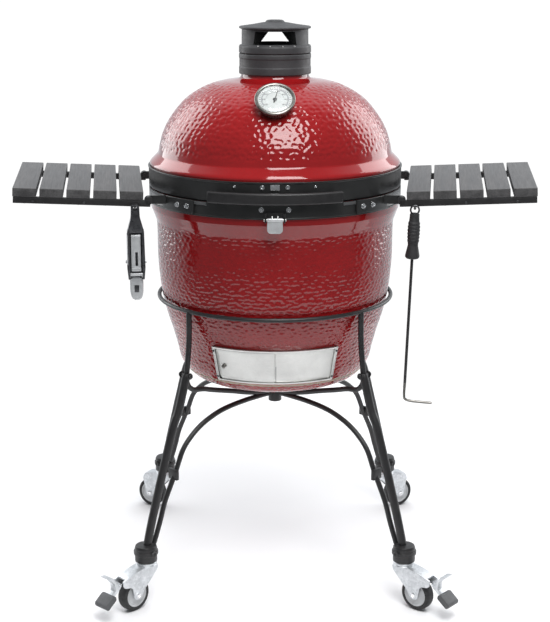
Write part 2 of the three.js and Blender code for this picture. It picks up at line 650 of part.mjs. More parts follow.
function latchLever() {
  const { y, z } = LATCH;
  const outline = [
    [-16.5, z - 2], [16.5, z - 2], [16.5, z - 24], [12, z - 29], [-12, z - 29], [-16.5, z - 24],
  ];
  const pad = plateXZ(outline, y - 3, y + 1);
  const pin = rodX(3, -24, 24, y - 1, z, 12);
  const barrel = rodX(4.5, -16.5, 16.5, y - 1, z, 12);
  return join(pad, pin, barrel);
}

function thermometerCase() {
  const { back, bezel, depth, stem, probe } = THERMO;
  const shell = lathe([
    [0, -probe], [stem, -probe], [stem, 0.8], [back, 0.8], [back, depth - 9], [bezel - 1.5, depth - 7],
    [bezel, depth - 4], [bezel - 2, depth], [bezel - 5, depth], [bezel - 6, depth - 5.5], [0, depth - 5.5],
  ], 24);
  return thermoFrame(shell.add(rodZ(2, depth - 6, depth - 2.4, 0, 0, 10)));
}

function thermometerNeedle() {
  const { depth } = THERMO;
  const low = depth - 4.6;
  const pointer = plateXY([[-1.3, -9], [1.3, -9], [0.5, 30], [-0.5, 30]], low, low + 1);
  const hub = rodZ(4.5, low, low + 1.8, 0, 0, 14);
  const bore = rodZ(2.15, low - 1, low + 3, 0, 0, 10);
  return thermoFrame(join(pointer, hub).subtract(bore).rotate([0, 0, -14]));
}

function thermometerLens() {
  const { bezel, depth } = THERMO;
  return thermoFrame(rodZ(bezel - 6.3, depth - 2, depth - 0.6, 0, 0, 24));
}

function ventBase() {
  const { ring: r, low, top } = VENT;
  const wall = ring([
    [77.6, low - 10], [r, low - 10], [r, top - 1], [r - 2, top], [50, top], [50, top - 4], [74, top - 4],
    [74, low + 1], [77.6, low + 1],
  ], VENT.segments);
  return wall;
}

// A round plate with draught slots; one is fixed in the tower and the other turns over it.
function slottedPlate(r, low) {
  const corners = [[22, -5], [44, -11], [44, 11], [22, 5]];
  let plate = plateXY(circle(r, 20), low, low + 3);
  for (let i = 0; i < VENT.slots; i += 1) {
    plate = plate.subtract(plateXY(corners, low - 1, low + 4).rotate([0, 0, 360 * i / VENT.slots]));
  }
  return plate;
}

function ventDial() {
  const low = VENT.top + 4.5;
  return slottedPlate(66, low).add(box([-4, 4], [-64, -58], [low + 1, low + 12]));
}

function ventTower() {
  const { ring: r, top, tower, brim, cap } = VENT;
  const base = top + 1;
  const wall = ring([
    [60, base], [r, base], [r, base + 14], [r - 1.5, base + 17], [tower, base + 18], [tower, cap],
    [70, cap], [70, base + 3], [60, base + 3],
  ], VENT.segments);
  const front = plateXZ([[-48, base + 20], [48, base + 20], [44, cap - 6], [-44, cap - 6]], -90, 0);
  const rear = plateXZ([[-40, base + 20], [40, base + 20], [16, cap - 6], [-16, cap - 6]], 0, 90);
  const lug = join(box([-16, 16], [72, VENT_HINGE_Y], [base, base + 10]),
    rodX(6, -16, 16, VENT_HINGE_Y, base + 4, 14));
  const bore = rodX(3.4, -30, 30, VENT_HINGE_Y, base + 4, 14);
  const roof = lathe([[0, cap - 3], [tower, cap - 3], [brim, cap - 1], [brim, cap + 2.5], [30, cap + 11],
    [18, cap + 17], [0, cap + 17]], VENT.segments);
  return join(wall.subtract(front).subtract(rear), slottedPlate(64, base), lug, roof).subtract(bore);
}

function ventHingeBase() {
  const base = VENT.top + 1;
  const block = join(...[-1, 1].map((s) => {
    const x = [s * 17, s * 23].sort((a, b) => a - b);
    const leaf = box(x, [80, VENT_HINGE_Y], [base - 20, base + 4]);
    return join(leaf, rodX(6, x[0], x[1], VENT_HINGE_Y, base + 4, 14));
  }), box([-23, 23], [80, 86], [base - 20, base - 9]));
  const pin = rodX(3, -22, 22, VENT_HINGE_Y, base + 4, 14);
  return join(block, pin).subtract(rodZ(VENT.ring - 1, base - 30, base - 5, 0, 0, VENT.segments));
}

// ---- assembly --------------------------------------------------------------------------------
const grill = new THREE.Group();
grill.name = 'ceramic_grill';
grill.position.set(0, CENTRE_Y, 0);

const body = group(grill, 'body');
part(body, 'base_shell', baseShell(), RED);
part(body, 'lower_band', lowerBand(), BLACK);
part(body, 'draft_frame', draftFrame(), STEEL);
part(body, 'draft_door', draftPanel(-DOOR_END_ANGLE, -DOOR_EDGE, DOOR_OFFSET + DOOR_T + GAP, -0.5), STEEL);
part(body, 'ash_drawer', ashDrawer(), STEEL);
part(body, 'fire_box', fireBox(), CLAY);
part(body, 'fire_grate', fireGrate(), IRON);
part(body, 'fire_ring', band(FIRE_RING.inner, FIRE_RING.outer, FIRE_RING.bottom, FIRE_RING.top), CLAY);
part(body, 'cooking_rack', cookingRack(), STEEL);
part(body, 'heat_deflector', heatDeflector(), CLAY);
part(body, 'cooking_grate_left', cookingGrate(-1), STEEL);
part(body, 'cooking_grate_right', cookingGrate(1), STEEL);
part(body, 'hinge_shaft', hingeShaft(), STEEL);
part(body, 'latch_lever', latchLever(), STEEL);

const dome = group(grill, 'dome');
part(dome, 'dome_shell', domeShell(), RED);
part(dome, 'upper_band', upperBand(), BLACK);
part(dome, 'dome_gasket', band(258, 284, BASE_RIM_Z + 0.1, DOME_RIM_Z - 0.05), FELT);
part(dome, 'front_handle', frontHandle(), BLACK);
part(dome, 'thermometer_case', thermometerCase(), DIAL);
part(dome, 'thermometer_needle', thermometerNeedle(), BLACK);
part(dome, 'thermometer_lens', thermometerLens(), GLASS);
part(dome, 'vent_base', join(ventBase(), ventHingeBase()), BLACK);
part(dome, 'vent_tower', ventTower(), BLACK);
part(dome, 'vent_dial', ventDial(), BLACK);

const cart = group(grill, 'cart');
part(cart, 'cart_ring', cartRing(), BLACK);
part(cart, 'cross_brace', crossBrace(), BLACK);
for (const [corner, [x, y, heading]] of Object.entries(HEADINGS)) {
  const diagonal = group(cart, `${corner}_corner`, [0, 0, 0], [0, 0, Math.atan2(y, x)]);
  part(diagonal, `leg_${corner}`, leg(), BLACK);
  const caster = group(cart, `caster_${corner}`, [x * SOCKET.at, y * SOCKET.at, 0],
    [0, 0, heading * Math.PI / 180]);
  const braked = y < 0;
  part(caster, `caster_fork_${corner}`, casterFork(braked), ZINC);
  part(caster, `caster_wheel_${corner}`, casterWheel(), RUBBER);
  if (braked) part(caster, `caster_brake_${corner}`, casterBrake(), PLASTIC);
}

for (const [name, side] of [['left', -1], ['right', 1]]) {
  part(cart, `shelf_bracket_${name}_front`, shelfBracket(side, BRACKET_FRONT), BLACK);
  part(cart, `shelf_bracket_${name}_rear`, shelfBracket(side, BRACKET_REAR), BLACK);
  const shelf = group(grill, `shelf_${name}`, [side * SHELF_PIVOT[0], SHELF_PIVOT[1], SHELF_PIVOT[2]],
    [0, -side * SHELF_TILT, -side * SHELF_SPLAY]);
  part(shelf, `shelf_frame_${name}`, shelfFrame(side), BLACK);
  for (let i = 0; i < SLAT.count; i += 1) {
    part(shelf, `shelf_slat_${name}_${i + 1}`, slat(side, i), SLATS);
  }
  const hook = group(shelf, `hook_${name}`, [side * HOOK.u, -RAIL.half - HOOK.gap, HOOK.z],
    [0, side * SHELF_TILT + (side > 0 ? TOOL_LEAN : 0), 0]);
  if (side > 0) {
    part(hook, 'ash_tool_handle', ashHandle(), RUBBER);
    part(hook, 'ash_tool_rod', ashRod(), BLACK);
  } else {
    part(hook, 'gripper_frame', gripperFrame(), BLACK);
    part(hook, 'gripper_trigger', gripperTrigger(), STEEL);
  }
}

export default grill;
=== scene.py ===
import json
import math

import bmesh
import bpy
import numpy as np
from mathutils import Matrix, Vector


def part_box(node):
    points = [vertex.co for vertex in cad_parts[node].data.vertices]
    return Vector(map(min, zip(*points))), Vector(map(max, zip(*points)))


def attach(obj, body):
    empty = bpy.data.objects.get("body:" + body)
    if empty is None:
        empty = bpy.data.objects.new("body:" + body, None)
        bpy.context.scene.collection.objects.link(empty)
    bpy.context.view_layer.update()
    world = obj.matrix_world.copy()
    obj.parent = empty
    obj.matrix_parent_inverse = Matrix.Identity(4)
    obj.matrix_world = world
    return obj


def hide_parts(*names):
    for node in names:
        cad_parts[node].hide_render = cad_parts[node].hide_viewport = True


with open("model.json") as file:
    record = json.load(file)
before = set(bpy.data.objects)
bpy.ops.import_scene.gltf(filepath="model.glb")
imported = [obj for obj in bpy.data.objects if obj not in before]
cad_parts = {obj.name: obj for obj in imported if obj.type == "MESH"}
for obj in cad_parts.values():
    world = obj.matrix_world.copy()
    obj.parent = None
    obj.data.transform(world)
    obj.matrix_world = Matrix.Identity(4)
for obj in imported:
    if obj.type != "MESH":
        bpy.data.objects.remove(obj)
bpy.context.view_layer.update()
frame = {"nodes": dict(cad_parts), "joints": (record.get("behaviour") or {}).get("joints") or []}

# Every shape below is written in millimetres about the axis of the ceramic body,
# and placed by a matrix in metres.
MM = 0.001
BASE_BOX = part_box("base_shell")
AXIS = Vector(((BASE_BOX[0].x + BASE_BOX[1].x) / 2, (BASE_BOX[0].y + BASE_BOX[1].y) / 2, 0))
BODY = Matrix.Translation(AXIS)
JOINTS = {j["name"]: j for j in frame["joints"]}
SIDES = {"left": -1, "right": 1}
CORNERS = {"front_left": (-1, -1), "front_right": (1, -1), "rear_left": (-1, 1), "rear_right": (1, 1)}
SEED = 20


# ---- materials -------------------------------------------------------------------------------
class Look:
    """A procedural material on object coordinates, and the record's slot that it belongs to."""

    def __init__(self, name, slot):
        self.slot = slot
        self.material = bpy.data.materials.new(name)
        self.material.use_nodes = True
        self.tree = self.material.node_tree
        self.shader = self.tree.nodes["Principled BSDF"]
        self.coords = self.node("ShaderNodeTexCoord").outputs["Object"]
        self.normal = None

    def node(self, kind, inputs=None, **settings):
        made = self.tree.nodes.new(kind)
        for key, value in settings.items():
            setattr(made, key, value)
        for key, value in (inputs or {}).items():
            if isinstance(value, bpy.types.NodeSocket):
                self.tree.links.new(value, made.inputs[key])
            else:
                made.inputs[key].default_value = value
        return made

    def stretched(self, scale):
        return self.node("ShaderNodeMapping", {"Vector": self.coords, "Scale": scale}).outputs["Vector"]

    def noise(self, scale, detail=3, vector=None, rough=0.55):
        where = {"Vector": vector or self.coords, "Scale": scale, "Detail": detail, "Roughness": rough}
        return self.node("ShaderNodeTexNoise", where).outputs["Fac"]

    def cells(self, scale, output="Distance"):
        return self.node("ShaderNodeTexVoronoi", {"Vector": self.coords, "Scale": scale}).outputs[output]

    def ramp(self, value, stops):
        made = self.node("ShaderNodeValToRGB", {"Fac": value})
        for element, (position, colour) in zip(made.color_ramp.elements, (stops[0], stops[-1])):
            element.position, element.color = position, (*colour, 1)
        for position, colour in stops[1:-1]:
            made.color_ramp.elements.new(position).color = (*colour, 1)
        return made.outputs["Color"]

    def span(self, value, low, high, start=0.3, end=0.7):
        made = self.node("ShaderNodeMapRange", {"Value": value, "From Min": start, "From Max": end,
            "To Min": low, "To Max": high})
        return made.outputs["Result"]

    def math(self, operation, a, b):
        return self.node("ShaderNodeMath", {0: a, 1: b}, operation=operation).outputs["Value"]

    def bump(self, height, strength, distance):
        inputs = {"Height": height, "Strength": strength, "Distance": distance * MM}
        if self.normal is not None:
            inputs["Normal"] = self.normal
        self.normal = self.node("ShaderNodeBump", inputs).outputs["Normal"]

    def set(self, **values):
        for key, value in values.items():
            socket = self.shader.inputs[key.replace("_", " ")]
            if isinstance(value, bpy.types.NodeSocket):
                self.tree.links.new(value, socket)
            else:
                socket.default_value = value
        if self.normal is not None:
            self.tree.links.new(self.normal, self.shader.inputs["Normal"])
        return self


def plain(name, slot, dark, light, scale, rough, metal=0.0, fine=900, strength=0.15, depth=0.2):
    """Two-tone mottle, uneven roughness and a fine bump."""
    look = Look(name, slot)
    mottle = look.noise(scale, 4)
    grain = look.noise(fine)
    blend = look.math("ADD", look.math("MULTIPLY", mottle, 0.6), look.math("MULTIPLY", grain, 0.4))
    look.bump(grain, strength, depth)
    return look.set(Base_Color=look.ramp(blend, [(0.34, dark), (0.66, light)]), Metallic=metal,
        Roughness=look.span(look.noise(scale * 2.3), *rough))


def glaze():
    look = Look("red_glaze", "glazed_ceramic")
    wide = look.noise(6, 4)
    speck = look.noise(420, 2)
    colour = look.ramp(wide, [(0.3, (0.205, 0.0060, 0.0072)), (0.7, (0.272, 0.0082, 0.0098))])
    flecks = look.ramp(speck, [(0.66, (0, 0, 0)), (0.74, (0.55, 0.55, 0.55))])
    mixed = look.node("ShaderNodeMixRGB", {"Fac": flecks, "Color1": colour,
        "Color2": (0.14, 0.006, 0.008, 1)})
    look.bump(look.noise(160, 2), 0.10, 0.5)
    return look.set(Base_Color=mixed.outputs["Color"], Roughness=look.span(look.noise(40, 3), 0.05, 0.10),
        IOR=1.52, Coat_Weight=0.2, Coat_Roughness=0.03)


def clay():
    look = Look("fire_clay", "fire_clay")
    pits = look.cells(240)
    colour = look.ramp(look.noise(14, 6), [(0.35, (0.30, 0.235, 0.17)), (0.65, (0.46, 0.385, 0.30))])
    dark = look.ramp(pits, [(0.05, (0.9, 0.9, 0.9)), (0.22, (0, 0, 0))])
    mixed = look.node("ShaderNodeMixRGB", {"Fac": dark, "Color1": colour, "Color2": (0.16, 0.12, 0.09, 1)})
    look.bump(look.noise(300, 5), 0.5, 0.8)
    return look.set(Base_Color=mixed.outputs["Color"], Roughness=look.span(look.noise(80), 0.8, 0.95))


def zinc():
    look = Look("zinc_plate", "zinc")
    spangle = look.cells(210, output="Color")
    grey = look.node("ShaderNodeRGBToBW", {"Color": spangle}).outputs["Val"]
    mottle = look.math("ADD", look.math("MULTIPLY", grey, 0.35), look.math("MULTIPLY", look.noise(45, 4),
        0.65))
    look.bump(look.noise(700, 2), 0.05, 0.1)
    return look.set(Base_Color=look.ramp(mottle, [(0.3, (0.50, 0.52, 0.54)), (0.7, (0.74, 0.76, 0.78))]),
        Metallic=look.span(grey, 0.72, 0.86), Roughness=look.span(mottle, 0.30, 0.44))


def felt():
    look = Look("woven_gasket", "felt")
    weave = look.cells(520)
    look.bump(weave, 0.7, 0.8)
    return look.set(Base_Color=look.ramp(weave, [(0.1, (0.06, 0.056, 0.05)), (0.6, (0.018, 0.017, 0.016))]),
        Roughness=look.span(look.noise(300), 0.85, 1.0), Sheen_Weight=0.3)


def board():
    """Moulded board with a sawn grain along its length."""
    look = Look("grained_board", "slat_plastic")
    grain = look.noise(300, 5, look.stretched((1.0, 0.035, 1.0)), 0.65)
    streak = look.noise(60, 3, look.stretched((1.0, 0.06, 1.0)))
    blend = look.math("ADD", look.math("MULTIPLY", grain, 0.55), look.math("MULTIPLY", streak, 0.45))
    look.bump(grain, 0.55, 0.6)
    look.bump(look.noise(1500, 2), 0.15, 0.1)
    return look.set(Base_Color=look.ramp(blend, [(0.36, (0.030, 0.029, 0.030)),
        (0.64, (0.085, 0.083, 0.084))]), Roughness=look.span(streak, 0.42, 0.58))


def brushed(name, dark, light, axis, rough=(0.26, 0.42)):
    """Brushed stainless: long fine scratches along one axis."""
    look = Look(name, "steel")
    stretch = [1.0, 1.0, 1.0]
    stretch[axis] = 0.02
    fine = look.noise(1400, 3, look.stretched(stretch))
    look.bump(fine, 0.12, 0.08)
    smudge = look.noise(18, 4)
    blend = look.math("ADD", look.math("MULTIPLY", fine, 0.4), look.math("MULTIPLY", smudge, 0.6))
    return look.set(Base_Color=look.ramp(blend, [(0.35, dark), (0.65, light)]), Metallic=1.0,
        Roughness=look.span(fine, *rough))


def glass():
    look = Look("lens_glass", "glass")
    look.bump(look.noise(30, 2), 0.02, 0.1)
    return look.set(Base_Color=look.ramp(look.noise(20, 3), [(0.3, (0.96, 0.98, 0.98)), (0.7, (1, 1, 1))]),
        Roughness=look.span(look.noise(60), 0.0, 0.03), IOR=1.3, Transmission_Weight=1.0)


GLAZE = glaze()
CLAY = clay()
ZINC = zinc()
FELT = felt()
BOARD = board()
LENS = glass()
POWDER = plain("black_powder_coat", "black_paint", (0.011, 0.0105, 0.011), (0.019, 0.0182, 0.019), 30,
    (0.36, 0.50), fine=1300, strength=0.22, depth=0.12)
BAND = plain("black_band_coat", "black_paint", (0.014, 0.0142, 0.0142), (0.022, 0.0222, 0.0222), 22,
    (0.28, 0.40), fine=1100, strength=0.12, depth=0.1)
CAST = plain("cast_vent", "black_paint", (0.029, 0.029, 0.031), (0.044, 0.044, 0.047), 40, (0.50, 0.64),
    fine=800, strength=0.45, depth=0.25)
IRON = plain("grey_iron", "grey_iron", (0.030, 0.028, 0.027), (0.055, 0.05, 0.047), 60, (0.6, 0.8), 0.6,
    fine=500, strength=0.5, depth=0.4)
RUBBER = plain("black_rubber", "rubber", (0.012, 0.012, 0.013), (0.026, 0.026, 0.027), 50, (0.55, 0.75),
    fine=700, strength=0.3, depth=0.2)
PEDAL = plain("grey_pedal", "pedal_plastic", (0.055, 0.056, 0.06), (0.088, 0.09, 0.094), 35, (0.45, 0.6),
    fine=900, strength=0.25, depth=0.15)
HUB = plain("pale_hub", "zinc", (0.42, 0.43, 0.44), (0.55, 0.56, 0.57), 40, (0.4, 0.55), fine=600)
ENAMEL = plain("dial_enamel", "dial", (0.56, 0.575, 0.565), (0.66, 0.675, 0.665), 60, (0.25, 0.35), fine=900,
    strength=0.03)
INK = plain("dial_ink", "dial", (0.03, 0.03, 0.03), (0.05, 0.05, 0.05), 200, (0.4, 0.5))
GREY_INK = plain("dial_grey_ink", "dial", (0.28, 0.29, 0.30), (0.36, 0.37, 0.38), 200, (0.4, 0.5))
WHITE_MARK = plain("white_mark", "black_paint", (0.45, 0.45, 0.45), (0.62, 0.62, 0.62), 200, (0.4, 0.5))
STEEL = brushed("brushed_steel", (0.60, 0.60, 0.59), (0.78, 0.78, 0.77), 0)
DRAFT = brushed("draft_steel", (0.52, 0.52, 0.505), (0.68, 0.68, 0.66), 0, (0.3, 0.48))
BEZEL = brushed("bezel_steel", (0.19, 0.182, 0.165), (0.33, 0.32, 0.30), 2, (0.22, 0.34))
CHROME = plain("bright_plate", "steel", (0.74, 0.75, 0.76), (0.86, 0.87, 0.88), 90, (0.2, 0.3), 1.0,
    fine=1200, strength=0.03)
PALE = plain("pale_steel", "steel", (0.50, 0.51, 0.52), (0.66, 0.67, 0.68), 70, (0.3, 0.42), 0.45, fine=1200,
    strength=0.06)
# A lighter grey than the band coat: a painted highlight for the light caught along the top of the lower band.
HIGHLIGHT_STRIP = plain("painted_band_highlight", "steel", (0.075, 0.077, 0.079), (0.12, 0.122, 0.125), 60, (0.3, 0.42), 0.3,
    fine=900, strength=0.06)
DARK_STEEL = plain("dark_steel", "steel", (0.10, 0.10, 0.105), (0.19, 0.19, 0.2), 60, (0.25, 0.4), 1.0)


# ---- shapes: each is (points in mm, faces) -----------------------------------------------------
def fillet(points, radius, steps=3, closed=True):
    """Rounds the corners of a 2-D outline."""
    out, count = [], len(points)
    for i, corner in enumerate(points):
        if not closed and i in (0, count - 1):
            out.append(tuple(corner))
            continue
        b = Vector(corner)
        to_a, to_c = Vector(points[i - 1]) - b, Vector(points[(i + 1) % count]) - b
        reach = min(radius, to_a.length * 0.45, to_c.length * 0.45)
        if reach < 1e-4 or abs(to_a.angle(to_c) - math.pi) < 0.05:
            out.append(tuple(corner))
            continue
        a, c = b + to_a.normalized() * reach, b + to_c.normalized() * reach
        for k in range(steps + 1):
            t = k / steps
            out.append(tuple(a * (1 - t) ** 2 + b * 2 * t * (1 - t) + c * t * t))
    return out


def spline(points, spacing):
    """Centripetal Catmull-Rom points about spacing apart, in 2-D or 3-D."""
    p = [np.array(q, float) for q in points]
    p = [2 * p[0] - p[1], *p, 2 * p[-1] - p[-2]]
    out = []
    for a, b, c, d in zip(p, p[1:], p[2:], p[3:]):
        t1 = np.linalg.norm(b - a) ** 0.5 + 1e-9
        t2 = t1 + np.linalg.norm(c - b) ** 0.5 + 1e-9
        t3 = t2 + np.linalg.norm(d - c) ** 0.5 + 1e-9
        count = max(1, round(float(np.linalg.norm(c - b)) / spacing))
        for k in range(count):
            t = t1 + (t2 - t1) * k / count
            ab, bc = a + (b - a) * t / t1, b + (c - b) * (t - t1) / (t2 - t1)
            cd = c + (d - c) * (t - t2) / (t3 - t2)
            abc, bcd = ab + (bc - ab) * t / t2, bc + (cd - bc) * (t - t1) / (t3 - t1)
            out.append(abc + (bcd - abc) * (t - t1) / (t2 - t1))
    return [tuple(float(v) for v in q) for q in [*out, p[-2]]]


def lathe(profile, segments=96, closed=True, push=None):
    """Turns [radius, height] points round Z, those on the axis into one vertex.

    push(row, angles) gives what is added to the radius and to the height.
    """
    points, faces, rings = [], [], []
    angles = np.arange(segments) * 2 * math.pi / segments
    for row, (r, z) in enumerate(profile):
        if r < 1e-6:
            rings.append([len(points)] * segments)
            points.append((0.0, 0.0, z))
            continue
        extra = push(row, angles) if push else (0.0, 0.0)
        radius, height = r + extra[0], z + extra[1]
        ring = np.stack([radius * np.sin(angles), -radius * np.cos(angles), height + 0 * angles], 1)
        rings.append(list(range(len(points), len(points) + segments)))
        points.extend(map(tuple, ring.tolist()))
    pairs = list(zip(rings, rings[1:]))
    if closed and profile[0][0] >= 1e-6:
        pairs.append((rings[-1], rings[0]))
    for low, high in pairs:
        for i in range(segments):
            j = (i + 1) % segments
            face = [low[i], low[j], high[j], high[i]]
            face = [v for k, v in enumerate(face) if v != face[k - 1]]
            if len(face) > 2:
                faces.append(face)
    return points, faces


def turned(profile, segments=96, radius=1.0):
    """A turned piece with rounded corners: the outline closes on itself, or starts and ends on the axis."""
    on_axis = profile[0][0] < 1e-6
    return lathe(fillet(profile, radius, closed=not on_axis), segments, not on_axis)


def rod(r, low, high, segments=32, edge=0.6):
    return turned([(0, low), (r, low), (r, high), (0, high)], segments, edge)


def arc(profile, start, end, segments):
    """A closed [radius, height] outline swept round Z between two angles from the front, with flat ends."""
    points, faces, count = [], [], len(profile)
    for k in range(segments + 1):
        a = start + (end - start) * k / segments
        points += [(r * math.sin(a), -r * math.cos(a), z) for r, z in profile]
    for k in range(segments):
        for i in range(count):
            j = (i + 1) % count
            faces.append([k * count + i, k * count + j, (k + 1) * count + j, (k + 1) * count + i])
    faces.append(list(range(count))[::-1])
    faces.append([segments * count + i for i in range(count)])
    return points, faces


def tube(path, radius, sides, closed=False):
    """A round bar along 3-D points, with its ends eased, or a closed ring."""
    path = [Vector(p) for p in path]
    count = len(path)
    tangents = []
    for i in range(count):
        before = path[i - 1] if closed or i else path[0]
        after = path[(i + 1) % count] if closed or i < count - 1 else path[-1]
        tangents.append((after - before).normalized())
    side = tangents[0].orthogonal().normalized()
    rows = []
    for p, t in zip(path, tangents):
        side = (side - t * side.dot(t)).normalized()
        rows.append((p, t, side.copy(), radius))
    if not closed:
        for which, sign in ((0, -1), (-1, 1)):
            p, t, s, r = rows[which]
            caps = [(p + t * sign * r * 0.25 * math.sin(a), t, s, r * (0.75 + 0.25 * math.cos(a)))
                for a in (0.8, 1.57)]
            rows = caps[::-1] + rows if which == 0 else rows + caps
    points, faces = [], []
    for p, t, s, r in rows:
        other = t.cross(s)
        for k in range(sides):
            a = 2 * math.pi * k / sides
            points.append(tuple(p + (s * math.cos(a) + other * math.sin(a)) * r))
    total = len(rows)
    for i in range(total if closed else total - 1):
        for k in range(sides):
            j, n = (k + 1) % sides, (i + 1) % total
            faces.append([i * sides + k, i * sides + j, n * sides + j, n * sides + k])
    if not closed:
        faces.append(list(range(sides))[::-1])
        faces.append([(total - 1) * sides + k for k in range(sides)])
    return points, faces


def block(x, y, z):
    points = [(a, b, c) for a in x for b in y for c in z]
    return points, [[0, 1, 3, 2], [4, 6, 7, 5], [0, 4, 5, 1], [2, 3, 7, 6], [0, 2, 6, 4], [1, 5, 7, 3]]


def plate(outline, low, high):
    """An XY outline between two heights."""
    count = len(outline)
    points = [(x, y, low) for x, y in outline] + [(x, y, high) for x, y in outline]
    faces = [[i, (i + 1) % count, count + (i + 1) % count, count + i] for i in range(count)]
    return points, [*faces, list(range(count))[::-1], list(range(count, 2 * count))]


def wall(outline, front, back):
    """An XZ outline between two Y values."""
    points, faces = plate(outline, -back, -front)
    return [(x, -z, y) for x, y, z in points], faces


def moved(shape, matrix):
    return [tuple(matrix @ Vector(p)) for p in shape[0]], shape[1]


def shifted(shape, x=0.0, y=0.0, z=0.0):
    return moved(shape, Matrix.Translation((x, y, z)))


def turned_by(shape, angle, axis="Z"):
    return moved(shape, Matrix.Rotation(angle, 4, axis))


def along_y(shape, x, y, z):
    """A shape built up Z, laid along Y and moved."""
    return shifted(turned_by(shape, -math.pi / 2, "X"), x, y, z)


def along_x(shape, x, y, z):
    return shifted(turned_by(shape, math.pi / 2, "Y"), x, y, z)


def ends_x(shape, x, y, z):
    """Two copies of a shape built up Z, at -x and x, that face away from each other."""
    return [moved(shape, Matrix.Translation((s * x, y, z)) @ Matrix.Rotation(s * math.pi / 2, 4, "Y"))
        for s in (-1, 1)]


def ends_y(shape, x, y, z):
    return [moved(shape, Matrix.Translation((x, s * y, z)) @ Matrix.Rotation(-s * math.pi / 2, 4, "X"))
        for s in (-1, 1)]


def outward(shape, angle, radius, z):
    """A shape built up Z, laid to face away from the axis at an angle from the front."""
    return moved(shape, Matrix.Rotation(angle, 4, "Z") @ Matrix.Translation((0, -radius, z))
        @ Matrix.Rotation(math.pi / 2, 4, "X"))


def pair(low, high, sign):
    """The range from low to high, or its mirror image."""
    return tuple(sorted((sign * low, sign * high)))


def join(*shapes):
    points, faces = [], []
    for p, f in shapes:
        start = len(points)
        points.extend(p)
        faces.extend([v + start for v in face] for face in f)
    return points, faces


def of_mesh(bm):
    bm.verts.index_update()
    shape = [tuple(v.co) for v in bm.verts], [[v.index for v in f.verts] for f in bm.faces]
    bm.free()
    return shape


def to_mesh(bm, name):
    mesh = bpy.data.meshes.new(name)
    bm.to_mesh(mesh)
    bm.free()
    return mesh


def add(name, data):
    made = bpy.data.objects.new(name, data)
    bpy.context.scene.collection.objects.link(made)
    return made


def to_bmesh(shape):
    bm = bmesh.new()
    made = [bm.verts.new(p) for p in shape[0]]
    for face in shape[1]:
        bm.faces.new([made[i] for i in face])
    bmesh.ops.recalc_face_normals(bm, faces=bm.faces)
    return bm


def eased(shape, width=0.8, segments=2, angle=0.6):
    """Bevels the sharp edges."""
    bm = to_bmesh(shape)
    sharp = [e for e in bm.edges if len(e.link_faces) == 2 and e.calc_face_angle() > angle]
    bmesh.ops.bevel(bm, geom=sharp, offset=width, segments=segments, profile=0.6, affect="EDGES",
        clamp_overlap=True)
    return of_mesh(bm)


def combine(shape, other, operation="DIFFERENCE"):
    """A boolean of two closed shapes."""
    objects = [add(name, to_mesh(to_bmesh(source), name)) for name,
        source in (("work", shape), ("tool", other))]
    change = objects[0].modifiers.new("cut", "BOOLEAN")
    change.operation, change.solver, change.object = operation, "EXACT", objects[1]
    change.use_self = True
    result = objects[0].evaluated_get(bpy.context.evaluated_depsgraph_get()).to_mesh()
    out = [tuple(v.co) for v in result.vertices], [list(f.vertices) for f in result.polygons]
    for made in objects:
        mesh = made.data
        bpy.data.objects.remove(made)
        bpy.data.meshes.remove(mesh)
    return out


def hexagon(radius, height):
    """A dished bolt head with a washer, standing on Z = 0."""
    washer = turned([(0, 0), (radius * 1.25, 0), (radius * 1.25, height * 0.18), (0, height * 0.18)], 24, 0.4)
    top = [(0, height * 0.18), (radius, height * 0.18), (radius, height * 0.82), (radius * 0.86, height),
        (radius * 0.5, height), (radius * 0.42, height * 0.8), (0, height * 0.8)]
    return join(washer, lathe(top, 6, False))


def put(name, shape, body, look, at=BODY, stands=(), sharp=38):
    """Makes one piece in metres, with its material and body, and hides the CAD nodes that it stands for."""
    bm = to_bmesh(shape)
    bmesh.ops.scale(bm, vec=(MM, MM, MM), verts=bm.verts)
    mesh = to_mesh(bm, name)
    mesh.shade_smooth()
    mesh.set_sharp_from_angle(angle=math.radians(sharp))
    made = add(name, mesh)
    made.matrix_world = at
    mesh.materials.append(look.material)
    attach(made, body)
    if stands:
        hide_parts(*([stands] if isinstance(stands, str) else stands))
    return made


def finish_node(name, look):
    """A CAD node that keeps its own mesh, with a detailed material."""
    node = frame["nodes"][name]
    node.data.materials.clear()
    node.data.materials.append(look.material)


# ---- ceramic body ----------------------------------------------------------------------------
BODY_R, BAND_R = 285.7, 289.6
BASE_BOTTOM, BASE_TOP, LID_BOTTOM = 456, 914, 918
DOOR_Z, DOOR_ANGLE = (490, 494, 584, 588), 0.62
BASE_DIMPLES = {"pitch": 8.6, "cell": 14.5, "size": (7.6, 3.9), "depth": 1.3, "tilt": 0.35}
DOME_DIMPLES = {"pitch": 11.6, "cell": 15.8, "size": (7.4, 4.6), "depth": 1.2, "tilt": 1.1}
RINGS = 576
FINE = 2.2
BASE_LOW = [(148, BASE_BOTTOM), (160, 460), (192, 472.5), (210, 489), (222, 508), (230, 540), (241, 580),
    (254, 622), (265, 673), (272, 745), (274, 834), (279, 850), (BODY_R, 868)]
BASE_RIM = [(BODY_R, BASE_TOP), (256, BASE_TOP)]
BASE_IN = [(247, 800), (238, 680), (213, 575), (210, 556), (190, 553), (197, 530), (184, 496), (120, 488),
    (0, 488)]
DOME_OUT = [(BODY_R, 962.6), (286.9, 965), (286.6, 968.5), (284.6, 971.6), (278, 978.4), (269.4, 987.2),
    (268.1, 988.7), (267.5, 990.4), (263.6, 1008), (257.8, 1030), (243.7, 1060), (213.6, 1100), (190, 1120),
    (155, 1139), (120, 1149.5), (93, 1153.5), (81, 1156.5), (77.3, 1161), (76.6, 1166)]
DOME_IN = [(52, 1176), (52, 1134), (100, 1128), (150, 1112), (190, 1085), (225, 1040), (248, 975),
    (256, LID_BOTTOM)]


